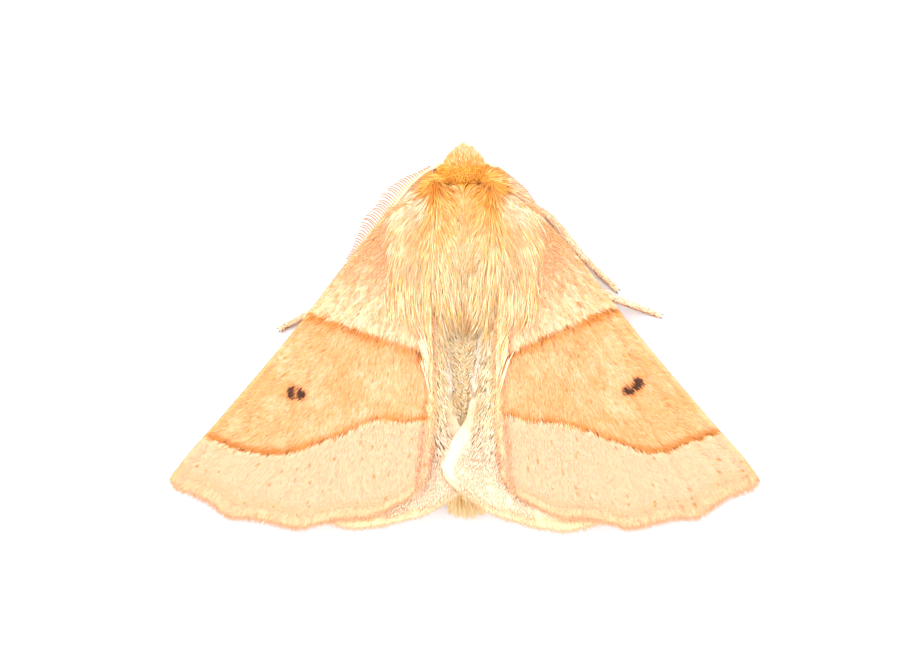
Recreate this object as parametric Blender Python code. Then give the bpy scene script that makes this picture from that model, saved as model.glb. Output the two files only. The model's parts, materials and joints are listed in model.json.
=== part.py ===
# A scalloped oak moth at life size, a male at rest with its wings spread in a broad flat triangle.
# Frame: +Y is where the head points, +X is the moth's right, +Z is up and the floor is at z = 0.

import math
import random

import bmesh
import bpy
import numpy as np
from mathutils import Vector

MM = 0.001


def mm(*values):
    """A point or a size given in millimetres, as a vector in metres."""
    return Vector(values) * MM


GAP = 0.3 * MM  # kept between any two nodes that meet

# Body: ellipsoids, and a tapering tube for the abdomen
THORAX_CENTRE = mm(0, 5.3, 3.1)
THORAX_RADII = mm(1.95, 2.65, 2.05)
HEAD_CENTRE = mm(0, 8.8, 2.7)
HEAD_RADII = mm(1.15, 1.0, 1.1)
EYE_CENTRE = mm(1.12, 8.5, 2.55)
EYE_RADIUS = 0.6 * MM
EYE_BACK = 0.78 * MM  # the eye is cut flat here, at this distance from the body's middle
ABDOMEN_WIDENING = 1.35  # the abdomen is this much wider than deep

# Wings: heights of the forewing's upper face, and what lies under it
WING_THICKNESS = 0.5 * MM
FRINGE_EDGE_SHARE = 0.4  # thickness of the fringe's edge, as a share of the wing's
FRINGE_START = 0.955  # where the fringe begins, as a share of the way from root to edge
VEIN_HEIGHT = 0.1 * MM
VEIN_HALF_WIDTH = 0.2 * MM
WING_ROOT_HEIGHT = 4.3 * MM
WING_SHOULDER_X = 2.0 * MM
WING_REACH = 13.5 * MM
WING_FALL = 2.7 * MM  # from the shoulder out to the wing tip
REAR_DROOP = 0.35 * MM  # from the root back to the outer margin
REAR_DROOP_START = 6.0 * MM
REAR_DROOP_RUN = 14.0 * MM
HINDWING_DROP = WING_THICKNESS + GAP + VEIN_HEIGHT  # the hindwing's upper face under the forewing's
LEFT_HINDWING_DIP = 0.85 * MM  # lets the left hindwing pass under the right one
LEFT_HINDWING_TURN = math.radians(2.3)


def clear_scene():
    for old in list(bpy.data.objects):
        bpy.data.objects.remove(old, do_unlink=True)


def new_collection(name):
    made = bpy.data.collections.new(name)
    bpy.context.scene.collection.children.link(made)
    return made


def finish_with(obj, colour, roughness):
    """Gives an object a plain material of its own."""
    made = bpy.data.materials.new(obj.name)
    made.use_nodes = True
    shader = made.node_tree.nodes["Principled BSDF"]
    shader.inputs["Base Color"].default_value = (*colour, 1)
    shader.inputs["Roughness"].default_value = roughness
    shader.inputs["Metallic"].default_value = 0
    obj.data.materials.clear()
    obj.data.materials.append(made)


def new_object(name, data, collection):
    made = bpy.data.objects.new(name, data)
    collection.objects.link(made)
    return made


def as_mesh(obj, weld=0):
    """Replaces an object by a plain mesh object of its shape, with its modifiers applied."""
    bpy.context.view_layer.update()
    graph = bpy.context.evaluated_depsgraph_get()
    mesh = bpy.data.meshes.new_from_object(obj.evaluated_get(graph))
    if weld:
        form = bmesh.new()
        form.from_mesh(mesh)
        bmesh.ops.remove_doubles(form, verts=form.verts, dist=weld)
        bmesh.ops.recalc_face_normals(form, faces=form.faces)
        bmesh.ops.triangulate(form, faces=form.faces)
        form.to_mesh(mesh)
        form.free()
    name = obj.name
    collection = obj.users_collection[0]
    place = obj.matrix_world.copy()
    bpy.data.objects.remove(obj, do_unlink=True)
    made = new_object(name, mesh, collection)
    made.matrix_world = place
    return made


def keep_largest(obj):
    """Leaves only the closed surface that holds the most volume."""
    form = bmesh.new()
    form.from_mesh(obj.data)
    todo = set(form.faces)
    shells = []
    while todo:
        shell = {todo.pop()}
        front = set(shell)
        while front:
            edges = {e for face in front for e in face.edges if len(e.link_faces) == 2}
            front = {face for e in edges for face in e.link_faces} & todo
            todo -= front
            shell |= front
        shells.append(shell)

    def volume(shell):
        corners = [[v.co for v in face.verts] for face in shell]
        return sum(p[0].dot(p[i].cross(p[i + 1])) for p in corners for i in range(1, len(p) - 1))

    best = max(shells, key=volume)
    bmesh.ops.delete(form, geom=[f for s in shells if s is not best for f in s], context="FACES")
    form.to_mesh(obj.data)
    form.free()


def fuse(core, pieces):
    """Joins closed pieces to a core by one Boolean union, and removes the pieces."""
    extras = new_collection(core.name + "_pieces")
    for piece in pieces:
        piece.users_collection[0].objects.unlink(piece)
        extras.objects.link(piece)
    union = core.modifiers.new("union", "BOOLEAN")
    union.operation = "UNION"
    union.solver = "MANIFOLD"
    union.operand_type = "COLLECTION"
    union.collection = extras
    core = as_mesh(core)
    for piece in list(extras.objects):
        bpy.data.objects.remove(piece, do_unlink=True)
    bpy.data.collections.remove(extras)
    keep_largest(core)
    return core


def cut(obj, cutter):
    """Takes a closed cutter out of an object, and keeps the largest body that is left."""
    part = obj.modifiers.new("cut", "BOOLEAN")
    part.operation = "DIFFERENCE"
    part.solver = "MANIFOLD"
    part.object = cutter
    obj = as_mesh(obj)
    keep_largest(obj)
    return obj


def ellipsoid(name, centre, radii, collection, around=24, along=14):
    form = bmesh.new()
    bmesh.ops.create_uvsphere(form, u_segments=around, v_segments=along, radius=1)
    for vert in form.verts:
        vert.co = Vector(c * r for c, r in zip(vert.co, radii))
    bmesh.ops.triangulate(form, faces=form.faces)
    mesh = bpy.data.meshes.new(name)
    form.to_mesh(mesh)
    form.free()
    made = new_object(name, mesh, collection)
    made.location = centre
    return made


def eye_form(name, side, radius, back, collection):
    """A ball cut flat on the side towards the head, at a distance from the body's middle."""
    made = ellipsoid(name, mm(0, 0, 0), (radius,) * 3, collection, 14, 8)
    for vert in made.data.vertices:
        vert.co.x = side * max(side * vert.co.x, back - EYE_CENTRE.x)
    made.location = (side * EYE_CENTRE.x, EYE_CENTRE.y, EYE_CENTRE.z)
    return made


def grown(radii, by):
    return Vector(r + by for r in radii)


def on_ellipsoid(centre, radii, direction):
    """The point of an ellipsoid that lies in a direction from its centre, and the normal there."""
    way = Vector(direction).normalized()
    reach = 1 / math.sqrt(sum((w / r) ** 2 for w, r in zip(way, radii)))
    offset = way * reach
    normal = Vector(o / r**2 for o, r in zip(offset, radii)).normalized()
    return centre + offset, normal


def eased(value, start, end):
    """0 before start, 1 past end, and a smooth step between them."""
    share = min(1, max(0, (value - start) / (end - start)))
    return share * share * (3 - 2 * share)


def smooth_points(points, steps):
    """Points along a smooth curve through the given ones, with so many steps in each span."""
    ends = [2 * points[0] - points[1], *points, 2 * points[-1] - points[-2]]
    found = []
    for a, b, c, d in zip(ends, ends[1:], ends[2:], ends[3:]):
        for i in range(steps):
            t = i / steps
            line = 2 * b + (c - a) * t
            bend = (2 * a - 5 * b + 4 * c - d) * t**2 + (3 * b - a - 3 * c + d) * t**3
            found.append((line + bend) / 2)
    return [*found, points[-1]]


def curve_by_share(points):
    """A function that gives the point at a share, 0 to 1, of a smooth curve's length."""
    line = np.array([list(p) for p in smooth_points(points, 12)])
    run = np.concatenate([[0], np.cumsum(np.linalg.norm(np.diff(line, axis=0), axis=1))])
    run /= run[-1]

    def at(share):
        return Vector([float(np.interp(share, run, column)) for column in line.T])

    return at


def curve_object(name, points, radii, collection):
    """A straight-sided 3D curve with a thickness at each point."""
    curve = bpy.data.curves.new(name, "CURVE")
    curve.dimensions = "3D"
    curve.use_fill_caps = True
    spline = curve.splines.new("POLY")
    spline.points.add(len(points) - 1)
    for spot, place, radius in zip(spline.points, points, radii):
        spot.co = (*place, 1)
        spot.radius = radius / MM
    return new_object(name, curve, collection)


def tube(name, points, radii, collection, sides=8):
    """A round limb along points, as a closed mesh."""
    limb = curve_object(name, points, radii, collection)
    limb.data.bevel_depth = MM
    limb.data.bevel_resolution = sides // 2 - 2
    return as_mesh(limb, weld=0.002 * MM)


LOCK_PROFILE_THICKNESS = 0.56  # of a lock of width 1
LOCK_TAPER = (0.8, 1.0, 0.95, 0.68, 0.12)  # width along a lock, from its sunken root to its tip
LOCK_SINK = 0.45 * MM


def build_lock_profile():
    """A flat rhombus, 1 mm wide, that every lock's curve is bevelled with."""
    outline = bpy.data.curves.new("lock_profile", "CURVE")
    outline.dimensions = "2D"
    spline = outline.splines.new("POLY")
    spline.points.add(3)
    spline.use_cyclic_u = True
    half_width = MM / 2
    half_depth = half_width * LOCK_PROFILE_THICKNESS
    corners = ((half_width, 0), (0, half_depth), (-half_width, 0), (0, -half_depth))
    for spot, (across, up) in zip(spline.points, corners):
        spot.co = (across, up, 0, 1)
    return new_object("lock_profile", outline, CUTTERS)


def lock(name, path, normal, width, collection):
    """A flat tapered lock along a path of five points, with its flat side facing along a normal."""
    strand = curve_object(name, path, [width * share for share in LOCK_TAPER], collection)
    strand.data.twist_mode = "Z_UP"
    strand.data.bevel_mode = "OBJECT"
    strand.data.bevel_object = bpy.data.objects["lock_profile"]
    along = (path[2] - path[1]).normalized()
    side = along.cross(Vector((0, 0, 1))).normalized()
    up = side.cross(along)
    lean = math.atan2(normal.dot(side), normal.dot(up))
    for spot, share in zip(strand.data.splines[0].points, (1, 1, 0.8, 0.5, 0.3)):
        spot.tilt = lean * share
    return as_mesh(strand, weld=0.002 * MM)


def forewing_height(x, y):
    """Height of the forewing's upper face, which slopes down to the tip and a little to the rear."""
    out = max(0, (abs(x) - WING_SHOULDER_X) / WING_REACH)
    back = max(0, (REAR_DROOP_START - y) / REAR_DROOP_RUN)
    return WING_ROOT_HEIGHT - WING_FALL * (0.7 * out + 0.3 * out**2) - REAR_DROOP * back**2


def hindwing_height(x, y):
    """Height of a hindwing's upper face. The left one dips where it passes under the right."""
    height = forewing_height(x, y) - HINDWING_DROP
    inward = eased(x, -4.2 * MM, -1.6 * MM)
    rearward = eased(-y, 2.4 * MM, 4.2 * MM)
    return height - LEFT_HINDWING_DIP * inward * rearward


def right_hindwing_height(x, y):
    return forewing_height(x, y) - HINDWING_DROP


# Outlines of the right wings, seen from above, in millimetres
FOREWING_COSTA = ((3.0, 6.95), (3.8, 6.5), (5.8, 4.4), (9.05, 0.2), (12.7, -4.1), (14.7, -6.35))
FOREWING_MARGIN = (
    (15.48, -7.6), (15.15, -8.1), (14.3, -8.35), (13.35, -8.83), (12.78, -9.28), (12.2, -9.6),
    (11.2, -9.62), (10.2, -9.82), (8.8, -10.12), (7.9, -9.93), (6.9, -9.66), (5.9, -9.58),
    (4.9, -9.48), (3.9, -9.0), (2.75, -8.32), (1.95, -7.3),
)
FOREWING_DORSUM = ((1.85, 3.4), (1.75, 1.0), (1.65, -2.0), (1.75, -5.0))
FOREWING_VEINS = (0.055, 0.13, 0.25, 0.345, 0.43, 0.545, 0.67, 0.80, 0.92)
FOREWING_LONG_VEINS = (0.055, 0.13, 0.67, 0.92)
FOREWING_ROOT_ANGLES = (math.radians(36), math.radians(-8))
FOREWING_ROWS = (0, 0.1, 0.21, 0.33, 0.45, 0.57, 0.68, 0.78, 0.87, FRINGE_START, 1)

HINDWING_COSTA = ((4.4, 3.2), (8.4, -1.8), (11.1, -5.5))
HINDWING_MARGIN = (
    (12.0, -7.3), (11.5, -8.3), (10.2, -8.85), (8.8, -9.35), (7.4, -9.75), (6.3, -10.08),
    (5.3, -10.24), (4.4, -10.12), (3.6, -9.98), (2.8, -9.7), (1.7, -9.38), (0.5, -8.62),
    (-0.4, -7.95), (-0.9, -7.45),
)
HINDWING_ANAL_EDGE = (
    (1.3, 1.5), (0.85, -0.2), (0.45, -2.5), (0.06, -4.2), (-0.6, -5.2), (-1.15, -6.0), (-1.2, -6.8),
)
HINDWING_VEINS = (0.07, 0.2, 0.33, 0.46, 0.59, 0.72, 0.86)
HINDWING_LONG_VEINS = (0.07, 0.59)
HINDWING_ROOT_ANGLES = (math.radians(-15), math.radians(-44))
HINDWING_ROWS = (0, 0.14, 0.3, 0.46, 0.62, 0.76, 0.88, FRINGE_START, 1)

MARGIN_LENGTH = 15.5 * MM
ROOT_END = 0.12  # where the long veins reach their full height
CELL_END = 0.42  # where the middle veins start, at the end of the wing's cell


def root_curve(angles, height):
    """The wing's root, a gap away from the thorax at the wing's height, as a function of a share."""
    level = math.sqrt(1 - ((height - THORAX_CENTRE.z) / THORAX_RADII.z) ** 2)
    half_width = THORAX_RADII.x * level + GAP
    half_length = THORAX_RADII.y * level + GAP

    def at(share):
        angle = angles[0] + (angles[1] - angles[0]) * share
        return Vector((half_width * math.cos(angle),
                       THORAX_CENTRE.y + half_length * math.sin(angle)))

    return at


def wing_patch(costa, margin, dorsum, root):
    """A function from (across, along), each 0 to 1, to a point of the wing seen from above."""
    def flat(points):
        return [Vector(p) * MM for p in points]

    leading = curve_by_share([root(0), *flat(costa), *flat(margin[:1])])
    trailing = curve_by_share([root(1), *flat(dorsum), *flat(margin[-1:])])
    outer = curve_by_share(flat(margin))

    def at(u, v):
        sides = leading(v) * (1 - u) + trailing(v) * u
        ends = root(u) * (1 - v) + outer(u) * v
        near = leading(0) * (1 - u) + trailing(0) * u
        far = outer(0) * (1 - u) + outer(1) * u
        return sides + ends - near * (1 - v) - far * v

    return at


def vein_columns(veins):
    """Shares across the wing for the mesh's columns, with 1 on a vein's crest and 0 elsewhere."""
    half = VEIN_HALF_WIDTH / MARGIN_LENGTH
    columns = {0.0: 0, 1.0: 0}
    for i, vein in enumerate(veins):
        columns[vein] = 1
        columns[vein - half] = 0
        columns[vein + half] = 0
        if i:
            columns[(vein + veins[i - 1]) / 2] = 0
    return sorted(columns.items())


def build_wing(name, side, patch, veins, long_veins, rows, height_at, turn=0):
    """A membrane with raised veins: a grid laid over the wing's outline and extruded upwards."""
    columns = vein_columns(veins)
    form = bmesh.new()
    bmesh.ops.create_grid(form, x_segments=len(columns) - 1, y_segments=len(rows) - 1, size=1)
    thickness = form.verts.layers.float.new("thickness")
    pivot = patch(0.5, 0)
    for vert in form.verts:
        u, on_vein = columns[round((vert.co.x + 1) / 2 * (len(columns) - 1))]
        v = rows[round((vert.co.y + 1) / 2 * (len(rows) - 1))]
        arm = patch(u, v) - pivot
        x = side * (pivot.x + arm.x * math.cos(turn) - arm.y * math.sin(turn))
        y = pivot.y + arm.x * math.sin(turn) + arm.y * math.cos(turn)
        plate = WING_THICKNESS * (FRINGE_EDGE_SHARE if v == 1 else 1)
        full = ROOT_END if u in long_veins else CELL_END
        ridge = VEIN_HEIGHT * on_vein * eased(v, full - 0.1, full) * min(1, 0.4 + v)
        vert[thickness] = plate + ridge * (v < FRINGE_START)
        vert.co = (x, y, height_at(x, y) - plate)
    bmesh.ops.triangulate(form, faces=form.faces, quad_method="SHORT_EDGE")
    raised = bmesh.ops.extrude_face_region(form, geom=form.faces)
    for vert in raised["geom"]:
        if isinstance(vert, bmesh.types.BMVert):
            vert.co.z += vert[thickness]
    bmesh.ops.recalc_face_normals(form, faces=form.faces)
    mesh = bpy.data.meshes.new(name)
    form.to_mesh(mesh)
    form.free()
    return new_object(name, mesh, MOTH)


def build_wings():
    fore_root = root_curve(FOREWING_ROOT_ANGLES, WING_ROOT_HEIGHT - WING_THICKNESS / 2)
    fore_patch = wing_patch(FOREWING_COSTA, FOREWING_MARGIN, FOREWING_DORSUM, fore_root)
    hind_height = WING_ROOT_HEIGHT - HINDWING_DROP - WING_THICKNESS / 2
    hind_root = root_curve(HINDWING_ROOT_ANGLES, hind_height)
    hind_patch = wing_patch(HINDWING_COSTA, HINDWING_MARGIN, HINDWING_ANAL_EDGE, hind_root)
    for side, word in ((-1, "left"), (1, "right")):
        wing = build_wing("forewing_" + word, side, fore_patch, FOREWING_VEINS,
                          FOREWING_LONG_VEINS, FOREWING_ROWS, forewing_height)
        finish_with(wing, (0.93, 0.72, 0.42), 0.85)
    for side, word, height_at, turn in (
        (-1, "left", hindwing_height, LEFT_HINDWING_TURN), (1, "right", right_hindwing_height, 0),
    ):
        wing = build_wing("hindwing_" + word, side, hind_patch, HINDWING_VEINS,
                          HINDWING_LONG_VEINS, HINDWING_ROWS, height_at, turn)
        finish_with(wing, (0.95, 0.84, 0.66), 0.85)


# The thorax's coat: rows of locks from the collar back, each row staggered against the last
COAT_SEED = 3
COAT_ROWS = 7
COAT_FRONT = 7.55 * MM
COAT_REAR = 3.2 * MM
COAT_LOCK_WIDTH = 1.0 * MM
COAT_LOCK_THICKNESS = COAT_LOCK_WIDTH * LOCK_PROFILE_THICKNESS
COAT_LOCK_LENGTH = 2.3 * MM
COAT_REAR_LENGTH = 3.0 * MM  # the hindmost locks, which stream over the abdomen's base
COAT_RISE = 0.5 * MM  # of a lock's tip over the core
COAT_ANGLES = ((-40, -14, 14, 40), (-48, -27, 0, 27, 48))  # around the back, in degrees

# The collar's fans, which stand out at each shoulder ahead of the wings: where each lock of the right
# fan ends, in mm. They are rooted together, high on the front of the thorax.
FAN_ROOT = (0.56, 0.93, 0.55)  # as a direction from the thorax's middle
FAN_TIPS = ((1.55, 8.45, 4.3), (2.4, 8.15, 4.3), (2.9, 7.6, 4.6), (3.15, 7.0, 5.0))
FAN_LOCK_WIDTH = 0.9 * MM
COAT_SPLAY = 0.8  # how far the side locks turn out over the wing roots


def body_top(x, y):
    """Height of the thorax's core at x and y, or of its middle where they lie outside it."""
    left = 1 - (x / THORAX_RADII.x) ** 2 - ((y - THORAX_CENTRE.y) / THORAX_RADII.y) ** 2
    return THORAX_CENTRE.z + THORAX_RADII.z * math.sqrt(max(0, left))


def lowest_over_wings(x, y):
    """The lowest that the middle of a lock may lie, so that it clears the wings under it."""
    over_fore = forewing_height(x, y) + VEIN_HEIGHT + GAP + COAT_LOCK_THICKNESS / 2
    over_hind = over_fore - HINDWING_DROP
    return over_hind + (over_fore - over_hind) * eased(abs(x), 0.5 * MM, 1.15 * MM)


def coat_lock(name, y, angle, draw):
    """One lock of the thorax's coat, rooted at y and at an angle around the back from its top."""
    girth = math.sqrt(max(0.12, 1 - ((y - THORAX_CENTRE.y) / THORAX_RADII.y) ** 2))
    x = THORAX_RADII.x * girth * math.sin(angle)
    z = THORAX_CENTRE.z + THORAX_RADII.z * girth * math.cos(angle)
    root = Vector((x, y, z))
    offset = root - THORAX_CENTRE
    normal = Vector(o / r**2 for o, r in zip(offset, THORAX_RADII)).normalized()
    rear = eased(COAT_FRONT - y, 2.6 * MM, COAT_FRONT - COAT_REAR)
    splay = COAT_SPLAY * math.sin(angle) * (1 - rear) + draw.uniform(-0.05, 0.05)
    length = COAT_LOCK_LENGTH + (COAT_REAR_LENGTH - COAT_LOCK_LENGTH) * rear * math.cos(angle)
    way = Vector((splay, -1, 0)).normalized()
    length *= draw.uniform(0.9, 1.08)
    path = [root - normal * LOCK_SINK]
    for share in (0.12, 0.45, 0.78, 1.0):
        spot = root + way * length * share
        over_core = body_top(spot.x, spot.y) + COAT_RISE * math.sqrt(share)
        hang = z + (over_core - z) * math.cos(angle) ** 2
        path.append(Vector((spot.x, spot.y, max(hang, lowest_over_wings(spot.x, spot.y)))))
    return lock(name, path, normal, COAT_LOCK_WIDTH, MOTH)


def build_thorax():
    draw = random.Random(COAT_SEED)
    thorax = ellipsoid("thorax", THORAX_CENTRE, THORAX_RADII, MOTH)
    locks = []
    for row in range(COAT_ROWS):
        y = COAT_FRONT + (COAT_REAR - COAT_FRONT) * row / (COAT_ROWS - 1)
        for angle in COAT_ANGLES[row % 2]:
            locks.append(coat_lock(f"lock_{row}_{angle}", y, math.radians(angle), draw))
    for side in (-1, 1):
        way = Vector((side * FAN_ROOT[0], *FAN_ROOT[1:]))
        root, normal = on_ellipsoid(THORAX_CENTRE, THORAX_RADII, way)
        for i, (x, y, z) in enumerate(FAN_TIPS):
            end = mm(side * x, y + draw.uniform(-0.08, 0.08), z + draw.uniform(-0.06, 0.1))
            middle = (root + end) / 2
            middle.z = max(middle.z + 0.2 * MM, lowest_over_wings(middle.x, middle.y))
            path = [root - normal * LOCK_SINK, root * 0.8 + middle * 0.2 + normal * 0.15 * MM,
                    middle, (middle + end) / 2, end]
            up = Vector((0, 0, 1))
            locks.append(lock(f"fan_{side}_{i}", path, up, FAN_LOCK_WIDTH, MOTH))
    thorax = fuse(thorax, locks)
    finish_with(thorax, (0.93, 0.66, 0.35), 0.9)


# The head's coat: rows of (height of the row's roots, how many, how far they spread sideways)
HEAD_SEED = 9
FACE_TIP = mm(0, 9.98, 2.6)
FACE_ROWS = ((0.95, 3, 0.45), (0.35, 3, 0.55), (-0.3, 3, 0.5))
CROWN_SIDE_TIP = (1.8, 8.3, 3.85)  # of the locks that cover the back of each eye, in mm
FACE_LOCK_WIDTH = 0.85 * MM
CROWN_LOCKS = 4


def build_head():
    draw = random.Random(HEAD_SEED)
    head = ellipsoid("head", HEAD_CENTRE, HEAD_RADII, MOTH, around=20, along=12)
    locks = []
    for row, (rise, count, spread) in enumerate(FACE_ROWS):
        for i in range(count):
            sideways = spread * (2 * i / (count - 1) - 1) + draw.uniform(-0.07, 0.07)
            root, normal = on_ellipsoid(HEAD_CENTRE, HEAD_RADII, (sideways, 1, rise))
            end = FACE_TIP + mm(sideways * 0.6, -abs(sideways) * 0.5, rise * 0.35)
            middle = (root + end) / 2 + normal * 0.18 * MM
            path = [root - normal * LOCK_SINK, root + normal * 0.05 * MM, middle,
                    (middle + end * 2) / 3, end]
            locks.append(lock(f"face_{row}_{i}", path, normal, FACE_LOCK_WIDTH, MOTH))
    for i in range(CROWN_LOCKS):
        sideways = 0.85 * (2 * i / (CROWN_LOCKS - 1) - 1) + draw.uniform(-0.05, 0.05)
        root, normal = on_ellipsoid(HEAD_CENTRE, HEAD_RADII, (sideways, -0.75, 1))
        end = root + mm(-sideways * 0.33, 1.1, 0.42)
        middle = (root + end) / 2 + mm(0, 0, 0.14)
        path = [root - normal * LOCK_SINK, root + normal * 0.08 * MM, middle,
                (middle + end * 2) / 3, end]
        locks.append(lock(f"crown_{i}", path, normal, FACE_LOCK_WIDTH, MOTH))
    for side in (-1, 1):
        root, normal = on_ellipsoid(HEAD_CENTRE, HEAD_RADII, (side * 0.48, -0.5, 0.85))
        end = mm(side * CROWN_SIDE_TIP[0], *CROWN_SIDE_TIP[1:])
        middle = (root + end) / 2 + mm(0, 0, 0.12)
        path = [root - normal * LOCK_SINK, root + normal * 0.08 * MM, middle,
                (middle + end * 2) / 3, end]
        locks.append(lock(f"crown_side_{side}", path, normal, FACE_LOCK_WIDTH, MOTH))
    head = fuse(head, locks)
    head = cut(head, bpy.data.objects["thorax_clearance"])
    for side, word in ((-1, "left"), (1, "right")):
        head = cut(head, eye_form("socket_" + word, side, EYE_RADIUS + GAP, EYE_BACK - GAP, CUTTERS))
    for side, word in ((-1, "left"), (1, "right")):
        line = antenna_line(side)[:4]
        line.insert(0, line[0] * 2 - line[1])
        antenna_way = tube("antenna_clearance_" + word, line,
                           [ANTENNA_RADIUS + GAP] * len(line), CUTTERS)
        head = cut(head, antenna_way)
    finish_with(head, (0.9, 0.55, 0.22), 0.9)


def build_eyes():
    for side, word in ((-1, "left"), (1, "right")):
        eye = eye_form("eye_" + word, side, EYE_RADIUS, EYE_BACK, MOTH)
        finish_with(eye, (0.05, 0.03, 0.02), 0.2)


PALP_ROOT_DIRECTION = (0.36, 0.5, -1)
PALP_REACH = ((0.0, 0.16, -0.14), (-0.06, 0.32, -0.12), (-0.12, 0.46, 0.0))  # from its root, in mm
PALP_RADII = (0.26, 0.29, 0.3, 0.29, 0.27, 0.22, 0.12)  # in mm


def build_palps():
    for side, word in ((-1, "left"), (1, "right")):
        way = (side * PALP_ROOT_DIRECTION[0], *PALP_ROOT_DIRECTION[1:])
        root, _ = on_ellipsoid(HEAD_CENTRE, grown(HEAD_RADII, GAP), way)
        reach = [root + mm(side * out, ahead, up) for out, ahead, up in PALP_REACH]
        line = smooth_points([root, *reach], 2)
        palp = tube("palp_" + word, line, [r * MM for r in PALP_RADII], MOTH)
        finish_with(palp, (0.9, 0.55, 0.22), 0.9)


# The right antenna's middle line, in mm; it runs back under the forewing's leading edge
ANTENNA_POINTS = (
    (0.6, 9.0, 3.6), (1.2, 8.95, 3.8), (1.95, 8.6, 3.5), (2.75, 7.95, 3.1), (3.35, 7.25, 2.8),
    (3.8, 6.65, 2.7), (4.4, 5.9, 2.6), (5.25, 4.9, 2.4), (6.05, 3.9, 2.2),
)
ANTENNA_RADIUS = 0.25 * MM
COMB_TEETH = 10
COMB_START = 0.24
COMB_TOOTH_LENGTH = 0.8 * MM
COMB_TOOTH_RADIUS = 0.2 * MM
COMB_HANG = {"left": -0.1, "right": 1.4}  # how far the outer teeth hang, for one unit outward


def antenna_line(side):
    return smooth_points([mm(side * x, y, z) for x, y, z in ANTENNA_POINTS], 2)


def build_antennae():
    for side, word in ((-1, "left"), (1, "right")):
        line = antenna_line(side)
        last = len(line) - 1
        radii = [ANTENNA_RADIUS * (1 - 0.5 * (i / last) ** 3) for i in range(last + 1)]
        shaft = tube("antenna_" + word, line, radii, MOTH)
        at = curve_by_share(line)
        teeth = []
        for i in range(COMB_TEETH):
            done = i / (COMB_TEETH - 1)
            share = COMB_START + (0.97 - COMB_START) * done
            along = (at(share + 0.02) - at(share - 0.02)).normalized()
            outward = (along.cross(Vector((0, 0, -1))) * side).normalized()
            swell = 0.5 + 0.5 * math.sin(math.pi * (0.15 + 0.75 * done))
            for row, lean, size in (("outer", outward - Vector((0, 0, COMB_HANG[word])), 1),
                                    ("inner", -outward * 0.6 - Vector((0, 0, 0.8)), 0.65)):
                way = (lean.normalized() + along * 0.35).normalized()
                end = at(share) + way * COMB_TOOTH_LENGTH * swell * size
                radii = [COMB_TOOTH_RADIUS, COMB_TOOTH_RADIUS * 0.4]
                teeth.append(tube(f"tooth_{i}_{row}", [at(share), end], radii, MOTH, sides=4))
        antenna = fuse(shaft, teeth)
        finish_with(antenna, (0.93, 0.8, 0.6), 0.7)


# The abdomen's middle line from the waist to the tail: (y, z, half depth), in mm
ABDOMEN_STATIONS = (
    (3.3, 2.35, 1.0), (2.4, 2.05, 1.1), (1.2, 1.72, 1.15), (-0.2, 1.42, 1.1), (-1.4, 1.27, 1.03),
    (-2.4, 1.15, 0.95), (-3.2, 1.05, 0.85), (-3.9, 0.95, 0.72), (-5.0, 0.9, 0.64),
    (-6.3, 0.87, 0.58), (-7.4, 0.84, 0.5), (-8.1, 0.82, 0.36),
)
ABDOMEN_LOCK_WIDTH = 0.85 * MM
ABDOMEN_LOCK_ROWS = (1.6, 0.7, -0.2, -1.1, -2.0, -2.9)  # distances ahead of the origin, in mm
TAIL_LOCK_WIDTH = 0.7 * MM
TAIL_ROWS = ((1.08, 0.6, 4), (0.78, 0.72, 5), (0.5, 0.55, 4))  # height, half spread, how many
TAIL_END = -9.25


def abdomen_top(y):
    ys, zs, depths = zip(*reversed(ABDOMEN_STATIONS))
    return float(np.interp(y, ys, [z + d for z, d in zip(zs, depths)]))


def build_abdomen():
    points = [mm(0, y, z) for y, z, _ in ABDOMEN_STATIONS]
    radii = [depth * MM for _, _, depth in ABDOMEN_STATIONS]
    abdomen = tube("abdomen", points, radii, MOTH, sides=12)
    for vert in abdomen.data.vertices:
        vert.co.x *= ABDOMEN_WIDENING
    draw = random.Random(COAT_SEED + 1)
    up = Vector((0, 0, 1))
    locks = []
    for row, y in enumerate(ABDOMEN_LOCK_ROWS):
        room = 0.34 - 0.05 * row  # half the width that the hindwings leave between them
        for x in ((-room, room) if row % 2 else (0,)):
            z = abdomen_top(y) - 0.05
            length = draw.uniform(1.15, 1.35)
            path = [mm(x * 0.6, y, z - 0.4)]
            for share in (0.15, 0.5, 0.8, 1.0):
                back = y - length * share
                path.append(mm(x * (0.6 + 0.4 * share), back, abdomen_top(back) + 0.3 * share))
            locks.append(lock(f"back_{row}_{x}", path, up, ABDOMEN_LOCK_WIDTH, MOTH))
    for row, (z, half_spread, count) in enumerate(TAIL_ROWS):
        for i in range(count):
            x = half_spread * (2 * i / (count - 1) - 1)
            end = TAIL_END + 0.4 * abs(x) + draw.uniform(0, 0.12)
            path = [mm(x * 0.4, -7.2, 0.84 + (z - 0.84) * 0.5)]
            for share in (0.2, 0.5, 0.8, 1.0):
                path.append(mm(x * (0.5 + 0.75 * share), -7.4 + (end + 7.4) * share, z - 0.1 * share))
            locks.append(lock(f"tail_{row}_{i}", path, up, TAIL_LOCK_WIDTH, MOTH))
    abdomen = fuse(abdomen, locks)
    abdomen = cut(abdomen, bpy.data.objects["thorax_clearance"])
    finish_with(abdomen, (0.92, 0.72, 0.45), 0.9)


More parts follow.
